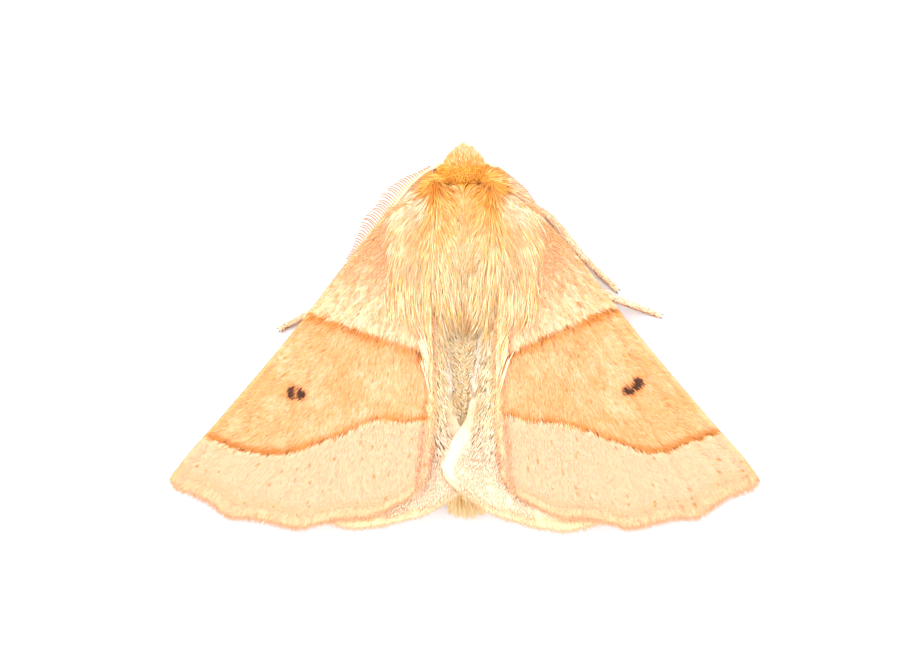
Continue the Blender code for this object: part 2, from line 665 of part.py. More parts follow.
# Each leg, in mm: the way it leaves the thorax's middle, then its knee, ankle and toe
LEGS = {
    "foreleg_right": ((0.55, 0.75, -0.8), (4.05, 6.6, 1.5), (6.0, 4.35, 0.95), (8.0, 2.5, 0.19)),
    "foreleg_left": ((-0.55, 0.75, -0.8), (-3.1, 7.1, 1.45), (-4.9, 5.2, 0.9), (-6.3, 3.3, 0.19)),
    "midleg_right": ((0.7, 0.1, -0.8), (4.3, 4.0, 1.75), (7.3, 2.3, 1.15), (10.3, 1.15, 0.19)),
    "midleg_left": ((-0.7, 0.1, -0.8), (-4.1, 3.8, 1.7), (-6.8, 2.0, 1.05), (-9.7, 0.45, 0.19)),
    "hindleg_right": ((0.6, -0.6, -0.8), (3.0, 1.6, 1.3), (3.9, -2.3, 0.8), (5.0, -5.2, 0.19)),
    "hindleg_left": ((-0.6, -0.6, -0.8), (-3.0, 1.5, 1.3), (-3.8, -2.4, 0.8), (-4.7, -5.4, 0.19)),
}
LEG_RADII = (0.36, 0.34, 0.27, 0.25, 0.24)  # from hip to toe, in mm
FOOT_LENGTH = 0.7 * MM  # the last stretch, which lies along the floor on a narrow flat


def build_legs():
    for name, (leaves, knee, ankle, toe) in LEGS.items():
        hip, _ = on_ellipsoid(THORAX_CENTRE, grown(THORAX_RADII, GAP), leaves)
        knee, ankle, toe = mm(*knee), mm(*ankle), mm(*toe)
        back_along_floor = Vector((ankle.x - toe.x, ankle.y - toe.y, 0)).normalized()
        heel = toe + back_along_floor * FOOT_LENGTH
        coxa = hip + (knee - hip) * 0.25 + mm(0, 0, -0.12)
        line = smooth_points([hip, coxa, knee, ankle, heel, toe], 2)
        radii = np.interp(np.linspace(0, len(LEG_RADII) - 1, len(line)), range(len(LEG_RADII)),
                          LEG_RADII)
        leg = tube(name, line, [float(r) * MM for r in radii], MOTH)
        for vert in leg.data.vertices:
            vert.co.z = max(vert.co.z, 0)
        finish_with(leg, (0.88, 0.68, 0.42), 0.8)


clear_scene()
MOTH = new_collection("scalloped_oak_moth")
CUTTERS = new_collection("cutters")
build_lock_profile()
ellipsoid("thorax_clearance", THORAX_CENTRE, grown(THORAX_RADII, GAP), CUTTERS)

build_wings()
build_thorax()
build_head()
build_eyes()
build_palps()
build_antennae()
build_abdomen()
build_legs()

for helper in CUTTERS.objects:
    helper.hide_render = True
    helper.display_type = "WIRE"
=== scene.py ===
import json
import math
from functools import partial
import bpy
import numpy as np
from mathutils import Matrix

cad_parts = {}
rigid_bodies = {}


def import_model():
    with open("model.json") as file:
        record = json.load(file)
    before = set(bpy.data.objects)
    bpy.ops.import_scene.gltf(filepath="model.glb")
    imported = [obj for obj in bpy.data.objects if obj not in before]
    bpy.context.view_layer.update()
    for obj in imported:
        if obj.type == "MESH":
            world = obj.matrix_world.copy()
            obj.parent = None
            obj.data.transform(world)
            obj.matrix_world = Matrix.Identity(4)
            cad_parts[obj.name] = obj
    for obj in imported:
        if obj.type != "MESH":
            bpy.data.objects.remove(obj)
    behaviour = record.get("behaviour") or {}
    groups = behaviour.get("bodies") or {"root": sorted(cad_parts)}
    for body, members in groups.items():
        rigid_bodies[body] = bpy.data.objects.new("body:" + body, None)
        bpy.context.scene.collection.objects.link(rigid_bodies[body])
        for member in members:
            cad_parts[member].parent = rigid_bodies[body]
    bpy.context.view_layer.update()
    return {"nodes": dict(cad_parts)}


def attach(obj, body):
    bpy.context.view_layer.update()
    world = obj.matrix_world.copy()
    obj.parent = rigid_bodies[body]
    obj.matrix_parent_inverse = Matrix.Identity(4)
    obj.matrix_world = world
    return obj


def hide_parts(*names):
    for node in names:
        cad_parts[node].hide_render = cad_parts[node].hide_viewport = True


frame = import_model()
mm = 0.001  # everything below is worked out in millimetres and written in metres
skyward = (0.0, 0.0, 1.0)
bothSides = ((-1, "left"), (1, "right"))
rootDepth = 0.06  # how deep in the skin a hair starts
bakePatch = (0.0014, 0.003)  # each tuft's half width and length on the map that is baked


def eased(value, start, end):
    share = np.clip((np.asarray(value, float) - start) / (end - start), 0, 1)
    return share * share * (3 - 2 * share)


def unit(rows):
    rows = np.asarray(rows, float)
    return rows / np.maximum(np.linalg.norm(rows, axis=-1, keepdims=True), 1e-9)


def column(values):
    return np.asarray(values, float)[:, None]


def smoothLine(points, steps):  # a smooth curve through the points
    points = np.asarray(points, float)
    ends = np.vstack([2 * points[0] - points[1], points, 2 * points[-1] - points[-2]])
    found = []
    for a, b, c, d in zip(ends, ends[1:], ends[2:], ends[3:]):
        for i in range(steps):
            t = i / steps
            found.append((2 * b + (c - a) * t + (2 * a - 5 * b + 4 * c - d) * t**2
                          + (3 * b - a - 3 * c + d) * t**3) / 2)
    return np.array([*found, points[-1]])


def alongCurve(points):  # gives the places at shares, 0 to 1, of a smooth curve's length
    line = smoothLine(points, 12)
    run = np.concatenate([[0], np.cumsum(np.linalg.norm(np.diff(line, axis=0), axis=1))])
    run /= run[-1]

    def at(share):
        return np.stack([np.interp(share, run, values) for values in line.T], axis=-1)

    return at


def insideOutline(x, y, outline):
    inside = np.zeros(len(x), bool)
    for (ax, ay), (bx, by) in zip(outline, np.roll(outline, -1, axis=0)):
        crosses = (ay > y) != (by > y)
        reach = ax + (y - ay) * (bx - ax) / (by - ay if by != ay else 1e-9)
        inside ^= crosses & (x < reach)
    return inside


def addValues(mesh, **values):  # numbers or vectors kept on each point, for the materials
    for label, rows in values.items():
        rows = np.asarray(rows, np.float32)
        if rows.ndim == 2:
            mesh.attributes.new(label, "FLOAT_VECTOR", "POINT").data.foreach_set("vector", rows.ravel())
        else:
            mesh.attributes.new(label, "FLOAT", "POINT").data.foreach_set("value", rows)


def makeObject(name, points, faces, material, bakeAt=None, smooth=True, **values):
    faces = [np.asarray(block, np.int32) for block in (faces if isinstance(faces, list) else [faces])]
    mesh = bpy.data.meshes.new(name)
    mesh.vertices.add(len(points))
    mesh.vertices.foreach_set("co", (np.asarray(points, np.float32) * mm).ravel())
    corners = np.concatenate([block.ravel() for block in faces])
    counts = np.concatenate([np.full(len(block), block.shape[1]) for block in faces])
    starts = np.concatenate([[0], np.cumsum(counts)[:-1]])
    mesh.loops.add(len(corners))
    mesh.loops.foreach_set("vertex_index", corners.astype(np.int32))
    mesh.polygons.add(len(counts))
    mesh.polygons.foreach_set("loop_start", starts.astype(np.int32))
    mesh.update(calc_edges=True)
    mesh.polygons.foreach_set("use_smooth", np.full(len(counts), smooth))
    addValues(mesh, **values)
    if bakeAt is not None:
        layer = mesh.uv_layers.new(name="OFBake")
        layer.data.foreach_set("uv", np.asarray(bakeAt, np.float32)[corners].ravel())
    mesh.materials.append(material)
    mesh.validate()
    made = bpy.data.objects.new(name, mesh)
    bpy.context.scene.collection.objects.link(made)
    return made


def placePiece(made, slotName, *replaced):
    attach(made, "root")
    if replaced:
        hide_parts(*replaced)
    return made


def tubeForm(line, radii, sides):  # points and faces of a closed, tapering tube
    line, radii = np.asarray(line, float), np.asarray(radii, float)
    ways = unit(np.gradient(line, axis=0))
    side = unit(np.cross(ways, skyward) + (1e-6, 0, 0))
    rise = unit(np.cross(side, ways))
    turns = np.linspace(0, 2 * math.pi, sides, endpoint=False)
    rings = (line[:, None] + radii[:, None, None]
             * (side[:, None] * np.cos(turns)[:, None] + rise[:, None] * np.sin(turns)[:, None]))
    points = np.vstack([rings.reshape(-1, 3), line[:1] - ways[:1] * radii[0] * 0.3,
                        line[-1:] + ways[-1:] * radii[-1] * 0.6])
    row, spoke = np.meshgrid(np.arange(len(line) - 1), np.arange(sides), indexing="ij")
    a = (row * sides + spoke).ravel()
    b = (row * sides + (spoke + 1) % sides).ravel()
    walls = np.stack([a, b, b + sides, a + sides], axis=1)
    spokes = np.arange(sides)
    after = (spokes + 1) % sides
    first, last = len(points) - 2, len(points) - 1
    end = (len(line) - 1) * sides
    caps = np.vstack([np.stack([after, spokes, np.full(sides, first)], 1),
                      np.stack([end + spokes, end + after, np.full(sides, last)], 1)])
    return points, walls, caps


def joinForms(forms):  # many tubes as one mesh
    points, walls, caps, tally = [], [], [], 0
    for form in forms:
        points.append(form[0])
        walls.append(form[1] + tally)
        caps.append(form[2] + tally)
        tally += len(form[0])
    return np.vstack(points), [np.vstack(walls), np.vstack(caps)]


# Each tuft is a closed, thin spindle: a point at the root, one or two rings of three, and a tip.
# path holds (tufts, rings + 2, 3); width is across, depth is up from the flat underside.
def makeTufts(name, slotName, path, width, depth, bakeRoot, material, draw, up=skyward, colourAt=None,
              toneFrom=0.0, smooth=True, **values):
    count, rings = len(path), path.shape[1] - 2
    ways = unit(path[:, -1] - path[:, 0])
    across = unit(np.cross(ways, up))
    up = unit(np.cross(across, ways))
    fullness = (1.0,) if rings == 1 else (0.85, 0.8)
    rows = [path[:, :1]]
    for i in range(rings):
        middle = path[:, i + 1]
        half = across * column(width) * 0.5 * fullness[i]
        rows.append(np.stack([middle - half, middle + half, middle + up * depth * fullness[i]], 1))
    rows.append(path[:, -1:])
    points = np.concatenate(rows, axis=1)
    size = points.shape[1]
    tip = size - 1
    local = [(0, 2, 1), (0, 3, 2), (0, 1, 3)]
    for i in range(rings - 1):
        a, b = 1 + 3 * i, 4 + 3 * i
        for j, k in ((0, 1), (1, 2), (2, 0)):
            local += [(a + j, a + k, b + k), (a + j, b + k, b + j)]
    a = 1 + 3 * (rings - 1)
    local += [(a, a + 1, tip), (a + 1, a + 2, tip), (a + 2, a, tip)]
    faces = (np.arange(count)[:, None, None] * size + np.array(local)[None]).reshape(-1, 3)
    shares = np.concatenate([[0]] + [[(i + 1) / (rings + 1)] * 3 for i in range(rings)] + [[1]])
    sideways = np.concatenate([[0]] + [[-1, 1, 0]] * rings + [[0]])
    patch = np.stack([sideways * bakePatch[0], shares * bakePatch[1]], 1)
    bakeAt = (np.asarray(bakeRoot)[:, None] + patch[None]).reshape(-1, 2)
    place = path[:, 0] if colourAt is None else colourAt
    return placePiece(makeObject(
        name, points.reshape(-1, 3), faces, material, bakeAt, smooth,
        place=np.repeat(place, size, axis=0), along=np.tile(shares, count),
        chance=np.repeat(draw.random(count), size),
        tone=np.repeat(toneFrom + (1 - toneFrom) * draw.random(count), size),
        **{label: np.repeat(rows, size, axis=0) for label, rows in values.items()}), slotName)


def tint(red, green, blue):  # an sRGB colour, 0 to 255, as Blender's linear one
    return (*[(c / 255 / 12.92) if c / 255 < 0.04045 else ((c / 255 + 0.055) / 1.055) ** 2.4
              for c in (red, green, blue)], 1)


def addNode(tree, kind, feeds=None, **settings):
    made = tree.nodes.new(kind)
    for label, value in settings.items():
        setattr(made, label, value)
    for label, value in (feeds or {}).items():
        if isinstance(value, bpy.types.NodeSocket):
            tree.links.new(value, made.inputs[label])
        else:
            made.inputs[label].default_value = value
    return made


def step(tree, value, low, high, most=1.0):  # 0 at low, rising smoothly to most at high
    made = addNode(tree, "ShaderNodeMapRange", {"Value": value, "From Min": low, "From Max": high,
                                                "To Min": 0.0, "To Max": most},
                   interpolation_type="SMOOTHSTEP")
    return made.outputs["Result"]


def sums(tree, operation, first, second=0.0, third=0.0):
    made = addNode(tree, "ShaderNodeMath", {0: first, 1: second, 2: third}, operation=operation)
    return made.outputs[0]


def blend(tree, share, first, second, way="MIX"):
    made = addNode(tree, "ShaderNodeMix", {0: share, 6: first, 7: second}, data_type="RGBA", blend_type=way)
    return made.outputs[2]


def distance(tree, place, spot, stretch):
    moved = addNode(tree, "ShaderNodeVectorMath", {0: place, 1: spot}, operation="SUBTRACT").outputs[0]
    scaled = addNode(tree, "ShaderNodeVectorMath", {0: moved, 1: stretch}, operation="MULTIPLY").outputs[0]
    return addNode(tree, "ShaderNodeVectorMath", {0: scaled}, operation="LENGTH").outputs["Value"]


def noise(tree, vector, scale, detail):
    made = addNode(tree, "ShaderNodeTexNoise", {"Vector": vector, "Scale": scale, "Detail": detail})
    return made.outputs["Fac"]


def startGroup(name, inputs, outputs):
    group = bpy.data.node_groups.new(name, "ShaderNodeTree")
    for label, kind, value in inputs:
        socket = group.interface.new_socket(label, in_out="INPUT", socket_type="NodeSocket" + kind)
        if value is not None:
            socket.default_value = value
    for label, kind in outputs:
        group.interface.new_socket(label, in_out="OUTPUT", socket_type="NodeSocket" + kind)
    entry = group.nodes.new("NodeGroupInput").outputs
    leave = group.nodes.new("NodeGroupOutput").inputs
    return group, entry, leave


def placeGroup(tree, group, **feeds):
    made = tree.nodes.new("ShaderNodeGroup")
    made.node_tree = group
    for label, value in feeds.items():
        label = label.replace("_", " ")
        if isinstance(value, bpy.types.NodeSocket):
            tree.links.new(value, made.inputs[label])
        else:
            made.inputs[label].default_value = value
    return made.outputs


def newMaterial(name, roughness, viewColour, **settings):
    material = bpy.data.materials.new(name)
    material.use_nodes = True
    material.diffuse_color = viewColour
    shader = material.node_tree.nodes["Principled BSDF"]
    shader.inputs["Roughness"].default_value = roughness
    for label, value in settings.items():
        shader.inputs[label.replace("_", " ")].default_value = value
    return material, material.node_tree, shader


def readValue(tree, label, output="Fac"):
    return addNode(tree, "ShaderNodeAttribute", attribute_name=label).outputs[output]


def dress(tree, shader, colour, height, bumpDepth, strength):  # a material's colour and its fine relief
    bump = addNode(tree, "ShaderNodeBump", {"Height": height, "Distance": bumpDepth, "Strength": strength})
    tree.links.new(colour, shader.inputs["Base Color"])
    tree.links.new(bump.outputs["Normal"], shader.inputs["Normal"])


def shortForms(tree):  # one tree's sums of any number of values, its ramps and its blends, by short names
    def join(operation, first, *others):
        for other in others:
            first = sums(tree, operation, first, other)
        return first

    joins = [partial(join, operation) for operation in ("MULTIPLY", "ADD", "SUBTRACT", "MINIMUM", "MAXIMUM")]
    return *joins, partial(sums, tree, "MULTIPLY_ADD"), partial(step, tree), partial(blend, tree)


# Fine streaks along a direction, for the nap of the scales and hairs
def fineNapGroup():
    group, entry, leave = startGroup("Fine nap", [("Place", "Vector", None), ("Scale", "Float", 8.0)],
                                     [("Height", "Float"), ("Shade", "Float")])
    times, plus = shortForms(group)[:2]
    fine = noise(group, entry["Place"], entry["Scale"], 3.0)
    broad = noise(group, entry["Place"], times(entry["Scale"], 0.13), 2.0)
    group.links.new(fine, leave["Height"])
    group.links.new(plus(times(fine, 0.6), times(broad, 0.4)), leave["Shade"])
    return group


# The wings' markings: how far ahead of the middle each cross line lies, at distances from left to right,
# the lobes of the discal spots (across, ahead, size), and the colours of the scales
wingPattern = {
    "innerLine": ((-15.5, 3.2), (-7.72, 1.22), (-5.42, 0.37), (-2.92, -0.43), (-1.52, -1.0), (0, -1.35),
                  (1.94, -0.95), (3.86, -0.04), (5.9, 0.81), (7.66, 1.54), (15.5, 3.2)),
    "outerLine": ((-15.5, -4.9), (-13.52, -5.23), (-11.62, -5.88), (-9.72, -6.08), (-8.72, -5.88),
                  (-7.62, -5.48), (-6.41, -5.03), (-5.42, -4.54), (-4.42, -4.28), (-3.22, -4.38), (-2.12, -4.2),
                  (0, -3.6), (2.16, -3.95), (3.41, -4.35), (4.54, -4.4), (6.36, -4.86), (8.17, -5.54),
                  (9.93, -5.99), (11.57, -5.54), (13.44, -4.92), (15.5, -4.6)),
    "spots": ((9.08, -2.33, 0.29), (8.92, -2.56, 0.26), (8.5, -2.76, 0.24), (8.72, -2.84, 0.18),
              (-9.02, -2.7, 0.22), (-9.04, -2.98, 0.22), (-8.53, -3.0, 0.25), (-8.62, -2.74, 0.14)),
    "cream": tint(242, 188, 162), "gold": tint(240, 171, 111), "median": tint(230, 144, 90),
    "pale": tint(234, 157, 125), "line": tint(186, 112, 42), "lineDark": tint(104, 58, 26),
    "lineBrown": tint(172, 108, 52), "spot": tint(50, 27, 20), "speck": tint(178, 118, 62),
    "edge": tint(238, 168, 104), "rim": tint(230, 150, 96), "fringe": tint(252, 202, 150),
    "hindPale": tint(252, 220, 192), "hindDeep": tint(246, 206, 162), "hindGold": tint(255, 206, 130),
    "hindStrip": tint(255, 238, 206), "hindEdge": tint(255, 234, 214), "hindFringe": tint(252, 206, 158),
}


def curveHeight(tree, x, points, reach=16.0, low=-8.0, high=4.0):
    share = sums(tree, "MULTIPLY_ADD", x, 0.5 / reach, 0.5)
    made = addNode(tree, "ShaderNodeFloatCurve", {"Factor": 1.0, "Value": share})
    curve = made.mapping.curves[0]
    spots = [((px + reach) / 2 / reach, (py - low) / (high - low)) for px, py in points]
    curve.points[0].location = spots[0]
    curve.points[1].location = spots[-1]
    for spot in spots[1:-1]:
        curve.points.new(*spot)
    made.mapping.update()
    return sums(tree, "MULTIPLY_ADD", made.outputs[0], high - low, low)


hairInputs = [("Along", "Float", 0.5), ("Chance", "Float", 0.5), ("Tone", "Float", 0.5)]
coatInputs = [("Place", "Vector", None), *hairInputs]
wingInputs = [("Place", "Vector", None), ("Wing Share", "Vector", None), *hairInputs]


def forewingGroup():
    look = wingPattern
    group, entry, leave = startGroup("Forewing markings", wingInputs, [("Color", "Color")])
    times, plus, minus, least, _, scaled, ramp, mix = shortForms(group)
    place, chance, tone = entry["Place"], entry["Chance"], entry["Tone"]
    x, y, _ = addNode(group, "ShaderNodeSeparateXYZ", {0: place}).outputs
    across, along, _ = addNode(group, "ShaderNodeSeparateXYZ", {0: entry["Wing Share"]}).outputs
    wander = scaled(noise(group, place, 2.2, 3.0), 0.3, -0.15)
    ahead = plus(minus(y, curveHeight(group, x, look["innerLine"])), wander)
    inside = plus(minus(y, curveHeight(group, x, look["outerLine"])), wander)
    patchy = noise(group, place, 0.7, 3.0)
    # ground: cream scales among golden ones, deeper towards the leading edge and between the lines
    colour = mix(scaled(tone, 0.9, ramp(across, 0.3, 0.02, 0.1)), look["cream"], look["gold"])
    colour = mix(ramp(inside, 0.0, -0.3, 0.7), colour, look["pale"])
    patches = scaled(ramp(patchy, 0.3, 0.62), 0.45, 0.5)
    between = times(ramp(ahead, 0.05, -0.25), ramp(inside, -0.1, 0.1), patches, ramp(across, 0.99, 0.86),
                    scaled(tone, 0.6, 0.7))
    colour = mix(between, colour, look["median"])
    colour = mix(times(ramp(chance, 0.16, 0.0), ramp(between, 0.0, 1.0, 0.5)), colour, look["line"])
    # inner line: crisp on the root side, fading outwards; outer line: crisp on the margin side
    ahead = plus(ahead, scaled(chance, 0.24, -0.12))
    inside = plus(inside, scaled(chance, 0.16, -0.08))
    strength = times(scaled(noise(group, place, 1.3, 2.0), 0.8, 0.48), ramp(across, 1.0, 0.95))
    strength = plus(strength, ramp(across, 0.4, 0.1, 0.35))
    inner = sums(group, "POWER", times(ramp(ahead, 0.1, -0.04), ramp(ahead, -0.8, -0.12)), 1.3)
    outer = sums(group, "POWER", times(ramp(inside, -0.08, 0.0), ramp(inside, 0.55, 0.08)), 1.3)
    outer = times(outer, strength)
    lines = least(times(plus(times(inner, strength), outer), 0.9), 0.95)
    colour = mix(lines, colour, look["line"])
    colour = mix(times(least(outer, 0.9), ramp(across, 0.5, 0.2, 0.8)), colour, look["lineBrown"])
    core = times(plus(times(ramp(ahead, 0.1, 0.0), ramp(ahead, -0.2, -0.08)),
                      times(ramp(inside, -0.08, 0.0), ramp(inside, 0.22, 0.1))),
                 ramp(chance, 0.35, 0.8, 0.9), ramp(noise(group, place, 0.9, 1.0), 0.35, 0.55),
                 ramp(across, 1.0, 0.95))
    colour = mix(core, colour, look["lineDark"])
    # scattered specks
    cells = addNode(group, "ShaderNodeTexVoronoi", {"Vector": place, "Scale": 1.5, "Randomness": 1.0},
                    voronoi_dimensions="2D")
    chosen = addNode(group, "ShaderNodeSeparateColor", {0: cells.outputs["Color"]}).outputs[0]
    speck = times(ramp(cells.outputs["Distance"], 0.13, 0.09), ramp(chosen, 0.2, 0.95, 0.9))
    colour = mix(speck, colour, look["speck"])
    # the dark discal spot, a cluster of lobes
    near = 9.0
    for sx, sy, size in look["spots"]:
        near = least(minus(distance(group, place, (sx, sy, 0), (1, 1, 0)), size), near)
    near = plus(near, scaled(tone, 0.16, -0.08))
    colour = mix(ramp(near, 0.34, 0.02, 0.35), colour, look["line"])
    colour = mix(ramp(near, 0.06, -0.07, 0.96), colour, look["spot"])
    # thin line inside the margin, the fringe, the inner edge lightened as painted light over the shade of the
    # step down to the hindwing, and the deeper leading edge
    rim = times(ramp(along, 0.925, 0.94), ramp(along, 0.96, 0.948), ramp(across, 0.95, 0.8), 0.28)
    colour = mix(rim, colour, look["rim"])
    fringe = times(ramp(along, 0.968, 0.98), ramp(entry["Along"], 0.2, 1.0), 0.8)
    colour = mix(fringe, colour, look["fringe"])
    # painted light: the inner edge lightened towards the fringe's colour where the step down to the hindwing
    # shades it
    colour = mix(times(ramp(across, 0.955, 0.99, 0.6), ramp(along, 0.9, 0.8)), colour, look["fringe"])
    colour = mix(ramp(across, 0.03, 0.0, 0.55), colour, look["edge"])
    group.links.new(colour, leave["Color"])
    return group


def hindwingGroup():
    look = wingPattern
    group, entry, leave = startGroup("Hindwing markings", wingInputs, [("Color", "Color")])
    times, _, _, _, _, _, ramp, mix = shortForms(group)
    across, along, _ = addNode(group, "ShaderNodeSeparateXYZ", {0: entry["Wing Share"]}).outputs
    colour = mix(times(entry["Tone"], 0.5), look["hindPale"], look["hindDeep"])
    hairs = mix(ramp(entry["Chance"], 0.2, 1.0, 0.9), look["hindStrip"], look["hindGold"])
    colour = mix(times(ramp(across, 0.4, 0.6), ramp(along, 0.68, 0.56)), colour, hairs)
    away = distance(group, entry["Place"], (1.2, -4.3, 0), (0.7, 1, 0))
    colour = mix(times(ramp(away, 0.62, 0.72), ramp(away, 0.95, 0.8), 0.3), colour, look["speck"])
    colour = mix(times(ramp(along, 0.93, 0.945), ramp(along, 0.968, 0.955), 0.35), colour, look["edge"])
    colour = mix(times(ramp(across, 0.945, 0.985, 0.85), ramp(along, 0.6, 0.5)), colour, look["hindEdge"])
    colour = mix(ramp(along, 0.968, 0.98, 0.8), colour, look["hindFringe"])
    group.links.new(colour, leave["Color"])
    return group


coatLook = {
    "gold": tint(255, 195, 112), "orange": tint(255, 184, 86), "cream": tint(255, 221, 176),
    "white": tint(255, 240, 214), "dull": tint(244, 198, 140), "brown": tint(150, 80, 24),
    "rust": tint(226, 126, 40), "back": tint(255, 225, 176), "tail": tint(255, 232, 180),
    "crown": tint(252, 184, 76), "face": tint(255, 169, 96), "belly": tint(255, 238, 202),
    # darker strands atop the abdomen between the wings: partly their own darker tips, partly painted shade
    # under the thorax's overhanging hair
    "darkTipsAndShade": tint(248, 194, 132), "deep": tint(252, 224, 164),
}


# Colour of the body's skin and hairs from their place in millimetres, the same for both
def coatGroup():
    look = coatLook
    group, entry, leave = startGroup("Coat colours", coatInputs, [("Color", "Color")])
    times, plus, minus, least, greatest, scaled, ramp, mix = shortForms(group)
    place, chance, tone, along = entry["Place"], entry["Chance"], entry["Tone"], entry["Along"]
    x, y, z = addNode(group, "ShaderNodeSeparateXYZ", {0: place}).outputs
    aside = sums(group, "ABSOLUTE", plus(x, 0.06))
    fanned = times(ramp(aside, 1.4, 1.9), ramp(y, 6.3, 7.0, 0.9))
    outer = plus(aside, times(ramp(along, 0.1, 1.0), fanned))
    # from golden shoulders to a paler back
    colour = mix(ramp(y, 7.0, 4.2), look["gold"], look["back"])
    shade = least(distance(group, place, (2.8, 4.3, 4.4), (0.8, 0.6, 0.3)),
                  distance(group, place, (-2.4, 4.2, 4.4), (0.8, 0.6, 0.3)))
    colour = mix(ramp(shade, 0.9, 0.2, 0.4), colour, look["dull"])
    # pale over the wing roots and out to the feelers, with an orange whorl behind each eye
    colour = mix(ramp(aside, 1.8, 2.6, 0.9), colour, look["cream"])
    whorl = least(distance(group, place, (1.4, 7.8, 4.0), (1.0, 0.85, 0.4)),
                  distance(group, place, (-1.55, 7.85, 4.0), (1.0, 0.85, 0.4)))
    colour = mix(ramp(whorl, 1.15, 0.2, 0.9), colour, look["orange"])
    colour = mix(times(ramp(outer, 1.85, 2.7, 0.9), ramp(y, 6.0, 6.8)), colour, look["white"])
    # the head: orange, deepest across the crown, paler at the face's tip
    head = times(ramp(y, 7.9, 8.0), ramp(aside, 1.5, 1.0))
    colour = mix(head, colour, look["crown"])
    colour = mix(ramp(y, 8.7, 9.05, 0.8), colour, look["face"])
    colour = mix(ramp(y, 9.2, 10.0, 0.6), colour, look["cream"])
    # a pale parting down the middle of the thorax
    colour = mix(times(ramp(aside, 0.17, 0.06), ramp(y, 7.75, 7.5), 0.6), colour, look["cream"])
    # the abdomen, and the tail's brush
    # darker strands at the top of the abdomen: partly the hairs' own darker tips, partly painted shade under
    # the overhanging thorax hair
    darkTipsAndShade = times(ramp(y, 2.6, 1.2), ramp(y, -0.4, 0.4), ramp(chance, 0.45, 0.75, 0.7), ramp(aside, 1.0, 0.6))
    colour = mix(darkTipsAndShade, colour, look["darkTipsAndShade"])
    colour = mix(ramp(y, 0.9, -0.2, 0.9), colour, look["belly"])
    colour = mix(ramp(y, -7.0, -8.0, 0.95), colour, look["tail"])
    # underside
    colour = mix(times(ramp(z, 2.2, 1.2), ramp(y, -6.0, -4.0), 0.6), colour, look["cream"])
    # hair by hair: paler tips, odd pale, rusty and dark ones
    crowned = times(head, ramp(y, 9.1, 8.7, 0.85))
    rich = minus(1.0, greatest(crowned, ramp(whorl, 1.3, 0.25, 0.75)))
    colour = mix(times(rich, ramp(along, 0.3, 1.0, 0.3)), colour, look["cream"])
    colour = mix(times(rich, ramp(tone, 0.6, 1.0, 0.4), ramp(aside, 2.8, 1.4)), colour, look["white"])
    colour = mix(ramp(tone, 0.55, 0.0, 1.0), colour, look["deep"], "MULTIPLY")
    rusty = sums(group, "GREATER_THAN", chance, minus(1.0, scaled(ramp(whorl, 2.0, 0.4), 0.22, 0.1)))
    colour = mix(times(rusty, 0.6), colour, look["rust"])
    crown = times(ramp(y, 7.85, 8.0), ramp(y, 8.75, 8.45), ramp(aside, 1.35, 1.0))
    dark = sums(group, "LESS_THAN", chance, greatest(times(crown, 0.17), ramp(whorl, 0.8, 0.2, 0.1)))
    colour = mix(times(dark, 0.85), colour, look["brown"])
    group.links.new(colour, leave["Color"])
    return group


fineNap = fineNapGroup()
forewingMarks = forewingGroup()
hindwingMarks = hindwingGroup()
coatColours = coatGroup()


def strandMaterial(name, group, roughness, wings):
    material, tree, shader = newMaterial(name, roughness, (0.95, 0.75, 0.45, 1), Specular_IOR_Level=0.2)
    feeds = {"Place": readValue(tree, "place", "Vector"), "Chance": readValue(tree, "chance"),
             "Tone": readValue(tree, "tone"), "Along": readValue(tree, "along")}
    if wings:
        feeds["Wing_Share"] = readValue(tree, "wingShare", "Vector")
    nap = placeGroup(tree, fineNap, Place=feeds["Place"], Scale=9.0)
    colour = placeGroup(tree, group, **feeds)["Color"]
    dress(tree, shader, colour, nap["Height"], 0.000004, 0.15 if wings else 0.3)
    return material


def objectNap(tree, scale):
    return placeGroup(tree, fineNap, Place=addNode(tree, "ShaderNodeTexCoord").outputs["Object"], Scale=scale)


def plainMaterial(name, first, second, roughness, scale, bumpDepth):
    material, tree, shader = newMaterial(name, roughness, first)
    nap = objectNap(tree, scale)
    colour = blend(tree, step(tree, nap["Shade"], 0.35, 0.65), first, second)
    dress(tree, shader, colour, nap["Height"], bumpDepth, 0.6)
    return material


forewingStuff = strandMaterial("Forewing scales", forewingMarks, 0.7, True)
hindwingStuff = strandMaterial("Hindwing scales", hindwingMarks, 0.7, True)
coatStuff = strandMaterial("Body coat", coatColours, 0.75, False)
# The nape hairs' browns are painted shadow, for the gap where the crown's hair overhangs the collar
napeShadowStuff = plainMaterial("Nape shadow hairs", tint(178, 100, 40), tint(132, 72, 28), 0.7, 5000, 0.00001)
print("materials ready")


